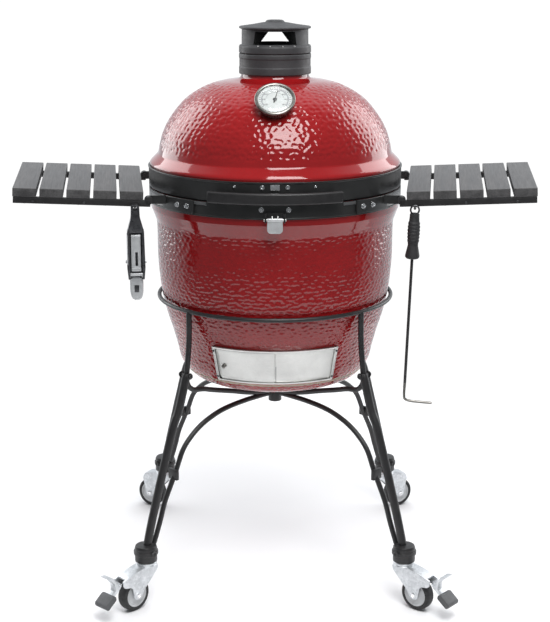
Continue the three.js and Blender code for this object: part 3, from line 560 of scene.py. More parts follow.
def smoothstep(value, low, high):
    t = min(max((value - low) / (high - low), 0.0), 1.0)
    return t * t * (3 - 2 * t)


def bare_inside(piece, limit):
    """Leaves a turned shell unglazed inside: limit gives the largest inside radius at each height."""
    piece.data.materials.append(CLAY.material)
    heights, radii = zip(*limit)
    for face in piece.data.polygons:
        x, y, z = face.center / MM
        inside = heights[0] <= z <= heights[-1] and math.hypot(x, y) < np.interp(z, heights, radii)
        face.material_index = int(inside)


class Dimples:
    """Rows of jittered, elongated hollows over a turned surface, pressed in along the surface normal."""

    def __init__(self, profile, mask, seed, pitch, cell, size, depth, tilt):
        self.profile, self.mask, self.pitch, self.deep = profile, mask, pitch, depth
        self.along = np.concatenate([[0], np.cumsum([math.dist(a, b) for a, b in zip(profile, profile[1:])])])
        rng = np.random.default_rng(seed)
        self.rows = []
        for j in range(int(self.along[-1] / pitch) + 2):
            s = j * pitch
            r = float(np.interp(s, self.along, [p[0] for p in profile]))
            count = max(6, round(2 * math.pi * r / cell))
            pick = rng.random((count, 5))
            angle = (np.arange(count) + 0.5 * (j % 2) + 0.55 * (pick[:, 0] - 0.5)) * 2 * math.pi / count
            self.rows.append((s + (pick[:, 1] - 0.5) * pitch * 0.6, angle, (pick[:, 2] - 0.5) * 2 * tilt,
                size[0] * (0.8 + 0.4 * pick[:, 3]), size[1] * (0.85 + 0.3 * pick[:, 4]), r))

    def depth(self, s, angles):
        out = np.zeros_like(angles)
        middle = int(s / self.pitch)
        for j in range(max(0, middle - 2), min(len(self.rows), middle + 4)):
            row_s, row_a, turn, half_long, half_short, r = self.rows[j]
            count = len(row_a)
            near = np.floor(angles / (2 * math.pi) * count).astype(int)
            for k in (-2, -1, 0, 1, 2):
                i = (near + k) % count
                du = np.mod(angles - row_a[i] + math.pi, 2 * math.pi) - math.pi
                u, v = du * r, s - row_s[i]
                p = u * np.cos(turn[i]) + v * np.sin(turn[i])
                q = v * np.cos(turn[i]) - u * np.sin(turn[i])
                d = (p / half_long[i]) ** 2 + (q / half_short[i]) ** 2
                out = np.maximum(out, np.clip(1 - d, 0, 1) ** 1.15)
        return out

    def push(self, row, angles):
        if row >= len(self.profile):
            return 0.0, 0.0
        before, after = self.profile[max(row - 1, 0)], self.profile[min(row + 1, len(self.profile) - 1)]
        dr, dz = after[0] - before[0], after[1] - before[1]
        length = math.hypot(dr, dz) or 1.0
        amount = self.mask(*self.profile[row], angles) * self.deep * self.depth(self.along[row], angles)
        return -amount * dz / length, amount * dr / length


def base_mask(r, z, angles):
    from_front = np.abs(np.mod(angles + math.pi, 2 * math.pi) - math.pi)
    over_door = smoothstep(z, *DOOR_Z[:2]) * (1 - smoothstep(z, *DOOR_Z[2:])) * (from_front < DOOR_ANGLE)
    return smoothstep(z, 470, 478) * (1 - smoothstep(z, 833, 842)) * (1 - over_door)


def dome_mask(r, z, angles):
    return smoothstep(z, 1000, 1006) * (1 - smoothstep(z, 1143, 1150)) + 0 * angles


base_outer = spline(BASE_LOW, FINE)
BASE_R = ([p[1] for p in base_outer], [p[0] for p in base_outer])
foot = [(0, BASE_BOTTOM), (80, BASE_BOTTOM)]
base_profile = [*foot, *base_outer, (BODY_R, 890), *fillet([(BODY_R, 900), *BASE_RIM, (254, 880)], 3, 4,
    False), *BASE_IN]
base_dimples = Dimples([*foot, *base_outer], base_mask, SEED, **BASE_DIMPLES)
shell = lathe(base_profile, RINGS, False, base_dimples.push)
draft_hole = block((-92, 92), (-260, -120), (509, 549))
base_piece = put("ceramic_base", combine(shell, draft_hole), "frame", GLAZE, stands="base_shell", sharp=45)
bare_inside(base_piece, [(488, 212), (553, 222), (680, 245), (800, 252), (912, 262)])

dome_outer = spline(DOME_OUT, FINE)
dome_profile = [*dome_outer, *fillet([(75.4, 1170), (75, 1176), (53, 1176)], 2, 3, False), *DOME_IN,
    *fillet([(257, LID_BOTTOM), (BODY_R, LID_BOTTOM), (BODY_R, 930)], 3, 3, False)]
dome_dimples = Dimples(dome_outer, dome_mask, SEED + 1, **DOME_DIMPLES)
dome_piece = put("ceramic_dome", lathe(dome_profile, RINGS, True, dome_dimples.push), "lid", GLAZE,
    stands="dome_shell", sharp=45)
bare_inside(dome_piece, [(919, 262), (975, 254), (1040, 232), (1085, 198), (1112, 158), (1130, 108),
    (1141, 52)])
put("lid_gasket", turned([(258, 914.2), (284, 914.2), (284, 917.9), (258, 917.9)], 192, 1.0), "lid", FELT,
    stands="dome_gasket")


def base_radius(z):
    return float(np.interp(z, BASE_R[0], BASE_R[1]))


# ---- steel bands, latch and rear hinge ---------------------------------------------------------
BAND_LIP_R = 291


def band_profile(low, high, lip_low):
    """A rolled band with a lip along its lower or its upper edge."""
    if lip_low:
        outer = [(BAND_LIP_R, low), (BAND_LIP_R, low + 3), (BAND_R, low + 4), (BAND_R, high)]
    else:
        outer = [(BAND_R, low), (BAND_R, high - 4), (BAND_LIP_R, high - 3), (BAND_LIP_R, high)]
    return [(286.2, low), *outer, (286.2, high)]


def front_bolt(x, z, radius, height):
    y = -math.sqrt(BAND_R ** 2 - x ** 2)
    tilt = math.atan2(x, -y)
    return moved(hexagon(radius, height), Matrix.Translation((x, y + 0.6, z)) @ Matrix.Rotation(tilt, 4, "Z")
        @ Matrix.Rotation(math.pi / 2, 4, "X"))


put("lower_band_ring", turned(band_profile(882, BASE_TOP, True), 288, 0.7), "frame", BAND,
    stands="lower_band")
put("upper_band_ring", turned(band_profile(LID_BOTTOM, 962, False), 288, 0.7), "lid", BAND,
    stands="upper_band")
# Thin raised strips either side of the handle. Their lighter grey is a painted highlight along the top of the
# lower band, below the gasket.
highlight_strips = [arc([(289.7, 906), (290.9, 906.6), (290.9, 912.2), (289.7, 912.8)], *sorted((s * 0.53, s * 1.3)), 40)
    for s in (-1, 1)]
put("band_highlight_strips", join(*highlight_strips), "frame", HIGHLIGHT_STRIP)
put("band_bolts_low", join(*[front_bolt(x, 903.6, 4.4, 5.5) for x in (-29, 29)]), "frame", CHROME)
put("band_bolts_high", join(*[front_bolt(x, 951, 3.9, 4.6) for x in (-27, 27)],
    *[front_bolt(x, 951.5, 2.4, 3.5) for x in (-86, 86)]), "lid", CHROME)
put("band_clasp", eased(arc([(289.8, 944), (292, 944), (292, 957), (289.8, 957)], -0.034, 0.034, 8), 0.6),
    "lid", CHROME)

LATCH_Y, LATCH_Z = -300, 884
ears = [eased(block(pair(18, 22, s), (LATCH_Y - 7, LATCH_Y + 11), (LATCH_Z - 6, LATCH_Z + 14)), 1.2)
    for s in (-1, 1)]
shoe = eased(block((-22, 22), (LATCH_Y + 3, LATCH_Y + 11.5), (LATCH_Z + 6, LATCH_Z + 14)), 1)
put("latch_ears", join(*ears, shoe), "frame", BAND)
links = [tube([(x, LATCH_Y - 1, LATCH_Z + 8), (x, LATCH_Y - 3.5, LATCH_Z + 2), (x, LATCH_Y - 1, LATCH_Z - 3)],
    1.7, 10) for x in (-6, 6)]
pad = fillet([(-16.5, 882), (16.5, 882), (16.5, 860), (12, 855), (-12, 855), (-16.5, 860)], 3)
latch_pad = eased(wall(pad, LATCH_Y - 3, LATCH_Y + 1), 0.9, 3)
put("latch_pad", join(latch_pad, along_x(rod(4.3, -16.3, 16.3), 0, LATCH_Y - 1, LATCH_Z)), "latch", PALE,
    stands="latch_lever")
put("latch_pin", join(along_x(rod(2.9, -24, 24, 24), 0, LATCH_Y - 1, LATCH_Z), *links), "latch", STEEL)

HINGE_Y = (Vector(JOINTS["lid_hinge"]["pos_m"]) - AXIS).y / MM
HINGE_Z = JOINTS["lid_hinge"]["pos_m"][2] / MM


def hinge_side(arm, low, high, plate_low, plate_high):
    """A curved back plate with two cheeks round the hinge pin."""
    section = fillet([(289.9, plate_low), (297.5, plate_low), (297.5, plate_high), (289.9, plate_high)], 1.5)
    shapes = [arc(section, math.pi - 0.27, math.pi + 0.27, 24)]
    for s in (-1, 1):
        nose = [(HINGE_Y + 14 * math.sin(a), HINGE_Z - 14 * math.cos(a)) for a in np.linspace(0, math.pi, 14)]
        cheek = wall([(288, low), (HINGE_Y, low), *nose, (HINGE_Y, high), (288, high)],
            *pair(arm - 8, arm, s))
        shapes.append(eased(turned_by(cheek, math.pi / 2), 1.2, 2))
    return shapes


put("hinge_ears", join(*hinge_side(68, 892, HINGE_Z + 4, 872, 910)), "frame", BAND)
put("hinge_arms", join(*hinge_side(44, 923, 944, 922, 959)), "lid", BAND)
for name, body, z, half in (("low", "frame", 881, 0.2), ("high", "lid", 950, 0.08)):
    bolts = [outward(hexagon(5.2, 6), a, 296.5, z) for a in (math.pi - half, math.pi + half)]
    put(f"hinge_bolts_{name}", join(*bolts), body, CHROME)
coil = [(x, HINGE_Y + 11.2 * math.cos(a), HINGE_Z + 11.2 * math.sin(a)) for x,
    a in zip(np.linspace(-31, 31, 361), np.linspace(0, 18 * math.pi, 361))]
heads = ends_x(hexagon(7.6, 5), 70.5, HINGE_Y, HINGE_Z)
shafts = [along_x(rod(r, -reach, reach), 0, HINGE_Y, HINGE_Z) for r, reach in ((6, 71), (8.2, 33))]
put("hinge_pin", join(*shafts, *heads), "frame", STEEL, stands="hinge_shaft")
put("hinge_spring", tube(coil, 1.6, 8), "frame", DARK_STEEL)

# ---- front handle ------------------------------------------------------------------------------
grip = fillet([(303.6, 917.2), (316.3, 917.2), (316.3, 941.8), (303.6, 941.8)], 4.5, 5)
stands = [moved(eased(block((-9, 9), (-306, -290), (923, 937)), 1.5), Matrix.Rotation(a, 4, "Z"))
    for a in (-0.2, 0.2)]
put("lid_handle", join(eased(arc(grip, -0.475, 0.475, 72), 2.2, 3, 0.9), *stands), "lid", POWDER,
    stands="front_handle")

# ---- thermometer -------------------------------------------------------------------------------
TILT = math.atan2(JOINTS["thermometer_reading"]["axis"][2], -JOINTS["thermometer_reading"]["axis"][1])
STAND = 22.2
HUB_PLACE = Vector(JOINTS["thermometer_reading"]["pos_m"])
THERMO = (Matrix.Translation(HUB_PLACE) @ Matrix.Rotation(math.pi / 2 - TILT, 4, "X")
    @ Matrix.Translation((0, 0, -STAND * MM)))
case = [(0, -66), (3.9, -66), (3.9, 0.9), (35.8, 0.9), (36, 16), (42.5, 18.5), (44, 21), (43.6, 24.6),
    (41, 26), (37.6, 25.6), (36.4, 20.4), (0, 20.4)]
put("thermometer_bezel", turned(case, 96, 1.2), "lid", BEZEL, THERMO, "thermometer_case")
put("dial_face", turned([(0, 20.3), (36.3, 20.3), (36.3, 20.7), (0, 20.7)], 96, 0.1), "lid", ENAMEL, THERMO)
SWEEP = 2.2
PRINT_Z = (20.6, 20.95)
bows = [arc([(near, PRINT_Z[0]), (far, PRINT_Z[0]), (far, high), (near, high)], math.pi - half,
    math.pi + half, count) for near, far, high, half, count in ((26.6, 29.4, PRINT_Z[1], SWEEP, 60),
    (19.0, 19.9, 20.9, 1.4, 40))]
put("dial_scale", join(*bows), "lid", GREY_INK, THERMO)
ticks = [turned_by(block((-w, w), (30.0, 33.8), PRINT_Z), a) for a,
    w in [(-SWEEP + 2 * SWEEP * k / 28, 0.55 if k % 4 == 0 else 0.28) for k in range(29)]]
put("dial_ticks", join(*ticks), "lid", INK, THERMO)


def numeral(value, angle, radius, size):
    """One number of the scale as a thin mesh."""
    curve = bpy.data.curves.new(f"number_{value}", "FONT")
    curve.body, curve.size, curve.extrude, curve.resolution_u = str(value), size, 0.12, 3
    curve.align_x = curve.align_y = "CENTER"
    made = add(f"number_{value}", curve)
    mesh = made.evaluated_get(bpy.context.evaluated_depsgraph_get()).to_mesh()
    shape = [tuple(v.co) for v in mesh.vertices], [list(f.vertices) for f in mesh.polygons]
    bpy.data.objects.remove(made)
    bpy.data.curves.remove(curve)
    return shifted(shape, radius * math.sin(angle), radius * math.cos(angle), 20.85)


numbers = [numeral(100 * (k + 1), -SWEEP + 2 * SWEEP * k / 7, 23.4, 5.2) for k in range(8)]
put("dial_numbers", join(*numbers), "lid", INK, THERMO)
NEEDLE = THERMO @ Matrix.Rotation(math.radians(-14), 4, "Z")
pointer = eased(plate([(-1.5, -9), (1.5, -9), (1.1, 6), (0.4, 30), (-0.4, 30), (-1.1, 6)], 21.4, 22.3), 0.2,
    1)
boss = turned([(0, 21.3), (4.4, 21.3), (4.4, 22.6), (3.2, 23.4), (0, 23.5)], 32, 0.4)
put("dial_needle", join(pointer, boss), "needle", INK, NEEDLE, "thermometer_needle")
put("dial_lens", turned([(0, 24.0), (36.4, 24.0), (36.4, 24.8), (20, 25.3), (0, 25.4)], 96, 0.2), "lid", LENS,
    THERMO, "thermometer_lens")

# ---- top vent ----------------------------------------------------------------------------------
TOP = 1212
collar = [(77.6, 1166.4), (81.2, 1166.4), (81.5, 1168), (81.5, 1181), (80.6, 1183), (80.6, 1200),
    (81.5, 1202), (81.5, TOP - 2), (79.8, TOP), (50, TOP), (50, TOP - 4), (74, TOP - 4), (74, 1177.4),
    (77.6, 1177.4)]
put("vent_collar", turned(collar, 144, 1.2), "lid", CAST, stands="vent_base")
HINGE_BACK = (Vector(JOINTS["vent_flip"]["pos_m"]) - AXIS).y / MM
HINGE_UP = JOINTS["vent_flip"]["pos_m"][2] / MM
knuckles = []
for s in (-1, 1):
    x = pair(17.4, 23, s)
    knuckles += [eased(block(x, (80, HINGE_BACK), (1193, HINGE_UP)), 1),
        along_x(rod(6, *x), 0, HINGE_BACK, HINGE_UP)]
knuckles.append(eased(block((-23, 23), (80.2, 86), (1193, 1204)), 1))
put("vent_hinge", join(*knuckles, along_x(rod(2.9, -24, 24), 0, HINGE_BACK, HINGE_UP)), "lid", CAST)

BASE = TOP + 1
tower = [(60, BASE), (81, BASE), (81.5, BASE + 1.5), (81.5, BASE + 13), (80.2, BASE + 16.5),
    (75.4, BASE + 18), (75, 1268), (70, 1268), (70, BASE + 3), (60, BASE + 3)]
tower_shape = turned(tower, 144, 0.8)
front_gap = wall([(-48, BASE + 20), (48, BASE + 20), (44, 1262), (-44, 1262)], -90, 0)
rear_gap = wall([(-32, BASE + 20), (32, BASE + 20), (9.5, 1262), (-9.5, 1262)], 0, 90)
tower_shape = combine(combine(tower_shape, front_gap), rear_gap)
roof = turned([(0, 1265), (75, 1265), (80.4, 1266.8), (81, 1268), (81, 1270.3), (79, 1271.2), (52, 1275),
    (30, 1279), (22, 1280), (19.5, 1283.6), (15, 1285), (0, 1285)], 144, 1.5)
put("vent_tower_wall", tower_shape, "vent_top", CAST, stands="vent_tower", sharp=35)
put("vent_roof", roof, "vent_top", CAST)


def slotted(r, low, radius=44):
    rim = plate([(r * math.cos(a), r * math.sin(a)) for a in np.linspace(0, 2 * math.pi, 96, endpoint=False)],
        low, low + 3)
    cutters = [turned_by(plate([(22, -5), (radius, -11), (radius, 11), (22, 5)], low - 1, low + 4),
        math.pi * k / 3) for k in range(6)]
    return eased(combine(rim, join(*cutters)), 0.5, 2, 0.9)


put("vent_fixed_plate", slotted(64, BASE), "vent_top", CAST)
put("vent_turning_plate", join(slotted(66, TOP + 4.5), eased(block((-4, 4), (-64, -58),
    (TOP + 7, TOP + 16.5)), 1)), "vent_plate", CAST, stands="vent_dial")
lug = join(eased(block((-16, 16), (72, HINGE_BACK), (BASE, BASE + 10)), 1),
    along_x(rod(6, -16, 16), 0, HINGE_BACK, HINGE_UP))
put("vent_lug", lug, "vent_top", CAST)
marks = [turned_by(block((-0.9, 0.9), (-81.55, -76.2), (BASE + 16.2, BASE + 18.6)), -0.49 + 0.355 * k)
    for k in range(4)]
put("vent_marks", join(*marks), "vent_top", WHITE_MARK)


# ---- draft door --------------------------------------------------------------------------------
def over_base(angles, heights, near, far, hole=None):
    """A curved sheet over the base: a grid of angles and heights, with an optional hole (a0, a1, z0, z1)."""
    rows, columns = len(heights), len(angles)
    points = [((base_radius(z) + off) * math.sin(a), -(base_radius(z) + off) * math.cos(a), z)
        for off in (near, far) for z in heights for a in angles]
    solid = {(i, j) for i in range(rows - 1) for j in range(columns - 1)
        if not (hole and hole[0] - 1e-6 <= angles[j] and angles[j + 1] <= hole[1] + 1e-6
        and hole[2] - 1e-6 <= heights[i] and heights[i + 1] <= hole[3] + 1e-6)}
    step, faces = rows * columns, []
    for i, j in sorted(solid):
        a, b, c, d = i * columns + j, i * columns + j + 1, (i + 1) * columns + j + 1, (i + 1) * columns + j
        faces += [[a, d, c, b], [a + step, b + step, c + step, d + step]]
        for near_cell, (p, q) in (((i - 1, j), (a, b)), ((i, j + 1), (b, c)), ((i + 1, j), (c, d)),
                ((i, j - 1), (d, a))):
            if near_cell not in solid:
                faces.append([p, q, q + step, p + step])
    bm = to_bmesh((points, faces))
    bmesh.ops.delete(bm, geom=[v for v in bm.verts if not v.link_faces], context="VERTS")
    return of_mesh(bm)


def steps(low, high, count, *extra):
    return sorted({round(float(v), 5) for v in [*np.linspace(low, high, count), *extra]})


WIDE = 0.602
SILL, HEAD = 498, 581
SLIT = (-0.42, -0.03, 511, 546)
frame_plate = over_base(steps(-WIDE, WIDE, 61, *SLIT[:2]), steps(SILL, HEAD, 18, *SLIT[2:]), 0.4, 2.6, SLIT)
fixed_panel = over_base(steps(0.006, 0.572, 30), steps(SILL + 5, HEAD - 5, 15), 2.4, 5.2)
rails = [over_base(steps(-WIDE, WIDE, 61), [z, z + 1.5, z + 3, z + 4.5], 0.4, 9.2)
    for z in (SILL, HEAD - 4.5)]
ends = [over_base(steps(*sorted((s * 0.574, s * WIDE)), 4), steps(SILL, HEAD, 18), 0.4, 8.6) for s in (-1, 1)]
put("draft_surround", join(frame_plate, *[eased(r, 0.7) for r in rails], *[eased(e, 0.7) for e in ends]),
    "frame", DRAFT, stands="draft_frame")
put("draft_fixed_panel", eased(fixed_panel, 0.5), "frame", DRAFT)
slider = over_base(steps(-0.551, -0.006, 30), steps(503.2, 575.8, 15), 5.3, 7.3)
put("draft_slider", eased(slider, 0.5), "door", DRAFT, stands="draft_door")


def on_base(shape, angle, z, offset):
    """Stands a shape, built up Z, on the base at an angle from the front."""
    return outward(shape, angle, base_radius(z) + offset, z)


knob = turned([(0, 0), (3.2, 0), (3.2, 2), (5, 3), (5, 4.6), (4, 5.4), (0, 5.6)], 32, 0.5)
put("draft_knob", on_base(knob, -0.5, 536, 6.9), "door", BEZEL)
screw = turned([(0, 0), (3.1, 0), (2.8, 1.2), (1.2, 1.9), (0.9, 1.2), (0, 1.2)], 20, 0.3)
put("draft_screws", join(*[on_base(screw, a, z, 8.4) for a in (-0.588, 0.588) for z in (508, 571)]), "frame",
    DARK_STEEL)
# A thin dark strip over the lower half of the seam beside the slider's edge: the seam, darkened with painted
# shadow.
put("draft_seam_shadow", over_base([0.006, 0.0085, 0.011], steps(504, 542, 6), 5.0, 5.27), "frame", DARK_STEEL)

# ---- inside the body ---------------------------------------------------------------------------
fire_box = turned([(118, 557), (203, 557), (211, 582), (234.5, 680), (237, 730), (219, 730), (216, 680),
    (190, 584), (176, 574), (118, 574)], 96, 3)
for k in range(2):
    fire_box = combine(fire_box, turned_by(block((-16, 16), (-260, 260), (625, 655)),
        math.pi / 4 + k * math.pi / 2))
put("fire_bowl", fire_box, "frame", CLAY, stands="fire_box")
put("fire_collar", turned([(216, 730.4), (240, 730.4), (240, 800), (216, 800)], 96, 3), "frame", CLAY,
    stands="fire_ring")
put("heat_plate", turned([(0, 811.5), (204, 811.5), (206, 814), (206, 824), (204, 826.5), (0, 826.5)], 96, 2),
    "frame", CLAY, stands="heat_deflector")


def loop(r, z, count=128, start=0.0, end=2 * math.pi):
    return [(r * math.cos(a), r * math.sin(a), z) for a in np.linspace(start, end, count, endpoint=end < 6)]


rack = [tube(loop(232, z), 3.8, 10, True) for z in (805, 895)]
rack += [turned_by(shifted(rod(3.8, 802, 898, 12), 237), math.pi / 4 + k * math.pi / 2) for k in range(4)]
rack += [tube([(-206, y, 806.5), (206, y, 806.5)], 3.4, 10) for y in (-110, 110)]
put("rack_wire", join(*rack), "frame", STEEL, stands="cooking_rack")
for name, s in SIDES.items():
    rim = [(s * abs(x), y, z) for x, y, z in loop(224.8, 903, 64, -math.pi / 2 + 0.03, math.pi / 2 - 0.03)]
    bars = [tube([*rim, rim[0]], 3.4, 10)]
    for k in range(10):
        x = 14 + 21 * k
        reach = math.sqrt(224.5 ** 2 - x ** 2)
        bars.append(tube([(s * x, -reach, 903), (s * x, reach, 903)], 3.2, 10))
    put(f"grate_{name}", join(*bars), "frame", STEEL, stands=f"cooking_grate_{name}")
finish_node("fire_grate", IRON)
finish_node("ash_drawer", STEEL)

# ---- cart --------------------------------------------------------------------------------------
put("cart_hoop", tube(loop(270.9, 657, 192), 4.8, 14, True), "frame", POWDER, stands="cart_ring")
LEG_PATH = [(281, 512), (307, 431), (320, 406), (350, 320), (376, 240), (389, 199), (402, 154), (407, 132)]
ARCH_PATH = [(0, 412), (99, 412), (155, 408), (189, 402), (237, 385), (270, 364), (294, 340), (318, 292),
    (352, 228), (366, 189), (381, 152), (391, 130)]
SUPPORT_PATH = [(282, 503), (276, 486), (262, 474), (232, 469), (201, 460), (143, 444.5), (84, 428),
    (20, 416)]
SOCKET_R = 290 * math.sqrt(2)


def radial(points):
    return spline([(r, 0, z) for r, z in points], 8)


def corner_turn(corner):
    x, y = CORNERS[corner]
    return Matrix.Rotation(math.atan2(y, x), 4, "Z")


for corner in CORNERS:
    turn = BODY @ corner_turn(corner)
    legs = [tube(radial([(270.9, 655), (271.9, 590), (282, 500)]), 6.4, 14), tube(radial(LEG_PATH), 9.5, 18)]
    put(f"leg_tube_{corner}", join(*legs), "frame", POWDER, turn, f"leg_{corner}")
    cup = turned([(0, 122), (22, 122), (22, 105.4), (25, 105.4), (25, 137), (23, 142), (0, 142)], 48, 1.2)
    ring = turned([(24.6, 121), (27.5, 122), (27.5, 130), (24.6, 131)], 48, 1)
    put(f"socket_{corner}", join(shifted(cup, SOCKET_R), shifted(ring, SOCKET_R)), "frame", POWDER, turn)
    put(f"socket_bolts_{corner}", join(*ends_y(hexagon(7.2, 5.4), SOCKET_R, 24.2, 127)), "frame", POWDER,
        turn)
    collar_bolt = join(along_y(rod(4.6, -16, 16), 283, 0, 512), *ends_y(hexagon(6, 5), 283, 13.6, 512))
    put(f"leg_bolt_{corner}", collar_bolt, "frame", POWDER, turn)

brace = [turned([(0, 391), (15.6, 391), (15.6, 420), (0, 420)], 32, 1.5)]
for corner in CORNERS:
    arm = [tube(radial(ARCH_PATH), 6, 14), tube(radial(SUPPORT_PATH), 6, 14),
        eased(block((320, 328), (-14, 14), (276, 300)), 1.5)]
    brace.append(moved(join(*arm), corner_turn(corner)))
put("brace_arches", join(*brace), "frame", POWDER, stands="cross_brace")

# ---- casters -----------------------------------------------------------------------------------
WHEEL_R, TRAIL = 37.5, 40
for corner in CORNERS:
    swivel, roll = JOINTS[f"swivel_{corner}"], JOINTS[f"roll_{corner}"]
    heading = math.atan2(-roll["axis"][0], roll["axis"][1])
    turn = Matrix.Translation((swivel["pos_m"][0], swivel["pos_m"][1], 0)) @ Matrix.Rotation(heading, 4, "Z")
    braked = f"brake_{corner}" in JOINTS
    nose = [(84, 82), (80, 66)] if braked else [(54, 90), (60, 78)]
    side = [(-19, 84), (-21, 96), (19, 98), (52, 92), *nose, (TRAIL + 16, 62), (TRAIL + 10, 28),
        (TRAIL - 9, 27), (TRAIL - 17, 44)]
    shell = wall(fillet(side, 8, 5), -16.5, 16.5)
    hollow = wall([(-40, 60), (-14, 78), (-12, 86), (20, 91), (52, 86.5), (120, 70), (120, -1), (-40, -1)],
        -14, 14)
    fork = combine(shell, hollow)
    if braked:
        fork = combine(fork, block((72, 110), (-12, 12), (50, 100)))
    race = turned([(0, 93), (22, 93), (24, 94.5), (24, 97.5), (22.6, 99), (24, 100.3), (24, 103.4),
        (22.8, 104.7), (0, 104.7)], 64, 0.5)
    put(f"fork_{corner}", join(eased(fork, 0.8, 2), race, rod(5.3, 100, 126, 24)), f"caster_{corner}", ZINC,
        turn, f"caster_fork_{corner}")
    nuts = ends_y(hexagon(6.6, 3.4), TRAIL, 15.8, WHEEL_R)
    put(f"axle_{corner}", join(along_y(rod(4.9, -18, 18), TRAIL, 0, WHEEL_R), *nuts), f"caster_{corner}",
        CHROME, turn)
    tyre = [(27.5, -12.2), (34, -12.2), (36.6, -10), (37.45, -6), (37.45, 6), (36.6, 10), (34, 12.2),
        (27.5, 12.2)]
    put(f"tyre_{corner}", along_y(turned(tyre, 96, 1.5), TRAIL, 0, WHEEL_R), f"wheel_{corner}", RUBBER, turn,
        f"caster_wheel_{corner}")
    hub = [(5.6, -12), (9, -12), (10, -10.4), (24, -9.4), (26, -11.6), (27.8, -11.6), (27.8, 11.6),
        (26, 11.6), (24, 9.4), (10, 10.4), (9, 12), (5.6, 12)]
    put(f"hub_{corner}", along_y(turned(hub, 72, 0.8), TRAIL, 0, WHEEL_R), f"wheel_{corner}", HUB, turn)
    if braked:
        s, z = 87, 74
        arm = wall(fillet([(s - 4, z - 5), (s + 12, z - 18), (s + 26, z - 24), (s + 28, z - 19),
            (s + 12, z - 8), (s + 13, z + 6), (s + 24, z + 20), (s + 20, z + 23), (s + 6, z + 8),
            (s - 4, z + 6)], 3), -9, 9)
        pad = wall(fillet([(s + 18, z - 24), (s + 42, z - 42), (s + 49, z - 38), (s + 50, z - 30),
            (s + 28, z - 13), (s + 20, z - 15)], 5, 5), -20, 20)
        ribs = [wall([(s + 30 + 4 * k, z - 14.6 - 3.6 * k), (s + 32 + 4 * k, z - 16 - 3.6 * k),
            (s + 32 + 4 * k, z - 18 - 3.6 * k), (s + 29 + 4 * k, z - 18 - 3.6 * k)], -16, 16)
            for k in range(4)]
        put(f"pedal_{corner}", join(eased(pad, 2.5, 3), *[eased(r, 0.3, 1) for r in ribs]), f"brake_{corner}",
            PEDAL, turn, f"caster_brake_{corner}")
        tab = wall(fillet([(s + 18, z + 18), (s + 34, z + 26), (s + 35, z + 29), (s + 22, z + 27)], 1.2), -14,
            14)
        put(f"brake_arm_{corner}", join(eased(arm, 1.2, 2), eased(tab, 1, 2),
            along_y(rod(3, -11.6, 11.6), s, 0, z)), f"brake_{corner}", ZINC, turn)


# ---- shelves -----------------------------------------------------------------------------------
TILT_UP = 0.05
SLAT_W, SLAT_GAP, SLAT_START, SLAT_LOW, SLAT_T, SLAT_HALF = 50.7, 7, 12, 1, 19, 195
RAIL_HALF, RAIL_W, RAIL_LOW, RAIL_TOP = 194.5, 14, -13.3, 0.7
SHELF_W = 5 * SLAT_W + 4 * SLAT_GAP
HOOK = Vector((30, -212, -12))


def shelf_matrix(name, s):
    joint = JOINTS[f"shelf_fold_{name}"]
    splay = math.asin(abs(joint["axis"][0]))
    return (Matrix.Translation(joint["pos_m"]) @ Matrix.Rotation(-s * splay, 4, "Z")
        @ Matrix.Rotation(-s * TILT_UP, 4, "Y"))


for name, s in SIDES.items():
    shelf, turn = f"shelf_{name}", shelf_matrix(name, s)
    for k in range(5):
        x = SLAT_START + k * (SLAT_W + SLAT_GAP)
        slat = eased(block(pair(x, x + SLAT_W, s), (-SLAT_HALF, SLAT_HALF), (SLAT_LOW, SLAT_LOW + SLAT_T)),
            1.6, 3)
        put(f"slat_{name}_{k + 1}", slat, shelf, BOARD, turn, f"shelf_slat_{name}_{k + 1}")
    rails = []
    for end in (-1, 1):
        y = pair(RAIL_HALF - RAIL_W, RAIL_HALF, end)
        rails.append(eased(block(pair(-4, SLAT_START + SHELF_W - 1, s), y, (RAIL_LOW, RAIL_TOP)), 1.2, 2))
        rails.append(along_y(rod(9, y[0], y[1]), 0, 0, 0))
        middle = sum(y) / 2
        pin = (middle - 16, middle) if end > 0 else (middle, middle + 16)
        rails.append(along_y(rod(4, pin[0], pin[1], 24, 0.4), 0, 0, 0))
    for x in (30, SLAT_START + SHELF_W - 14):
        rails.append(eased(block(pair(x, x + 4, s), (-185, 185), (-8, RAIL_TOP)), 0.8))
    rails.append(tube([(s * HOOK.x, -192, HOOK.z), (s * HOOK.x, -226, HOOK.z),
        (s * HOOK.x, -228.4, HOOK.z + 2)], 2.9, 12))
    put(f"shelf_rails_{name}", join(*rails), shelf, POWDER, turn, f"shelf_frame_{name}")
    studs = [along_y(rod(2.6, -195.6, -190, 20, 0.3), s * x, 0, -8) for x in (140, 250)]
    put(f"shelf_studs_{name}", join(*studs), shelf, DARK_STEEL, turn)
    screw = turned([(0, -1.2), (2.4, -1.2), (3.0, 0.2), (0, 0.2)], 20, 0.3)
    screws = [shifted(screw, s * (SLAT_START + SLAT_W / 2 + k * (SLAT_W + SLAT_GAP)),
        end * (RAIL_HALF - RAIL_W / 2), RAIL_LOW) for k in range(5) for end in (-1, 1)]
    put(f"shelf_screws_{name}", join(*screws), shelf, CHROME, turn)

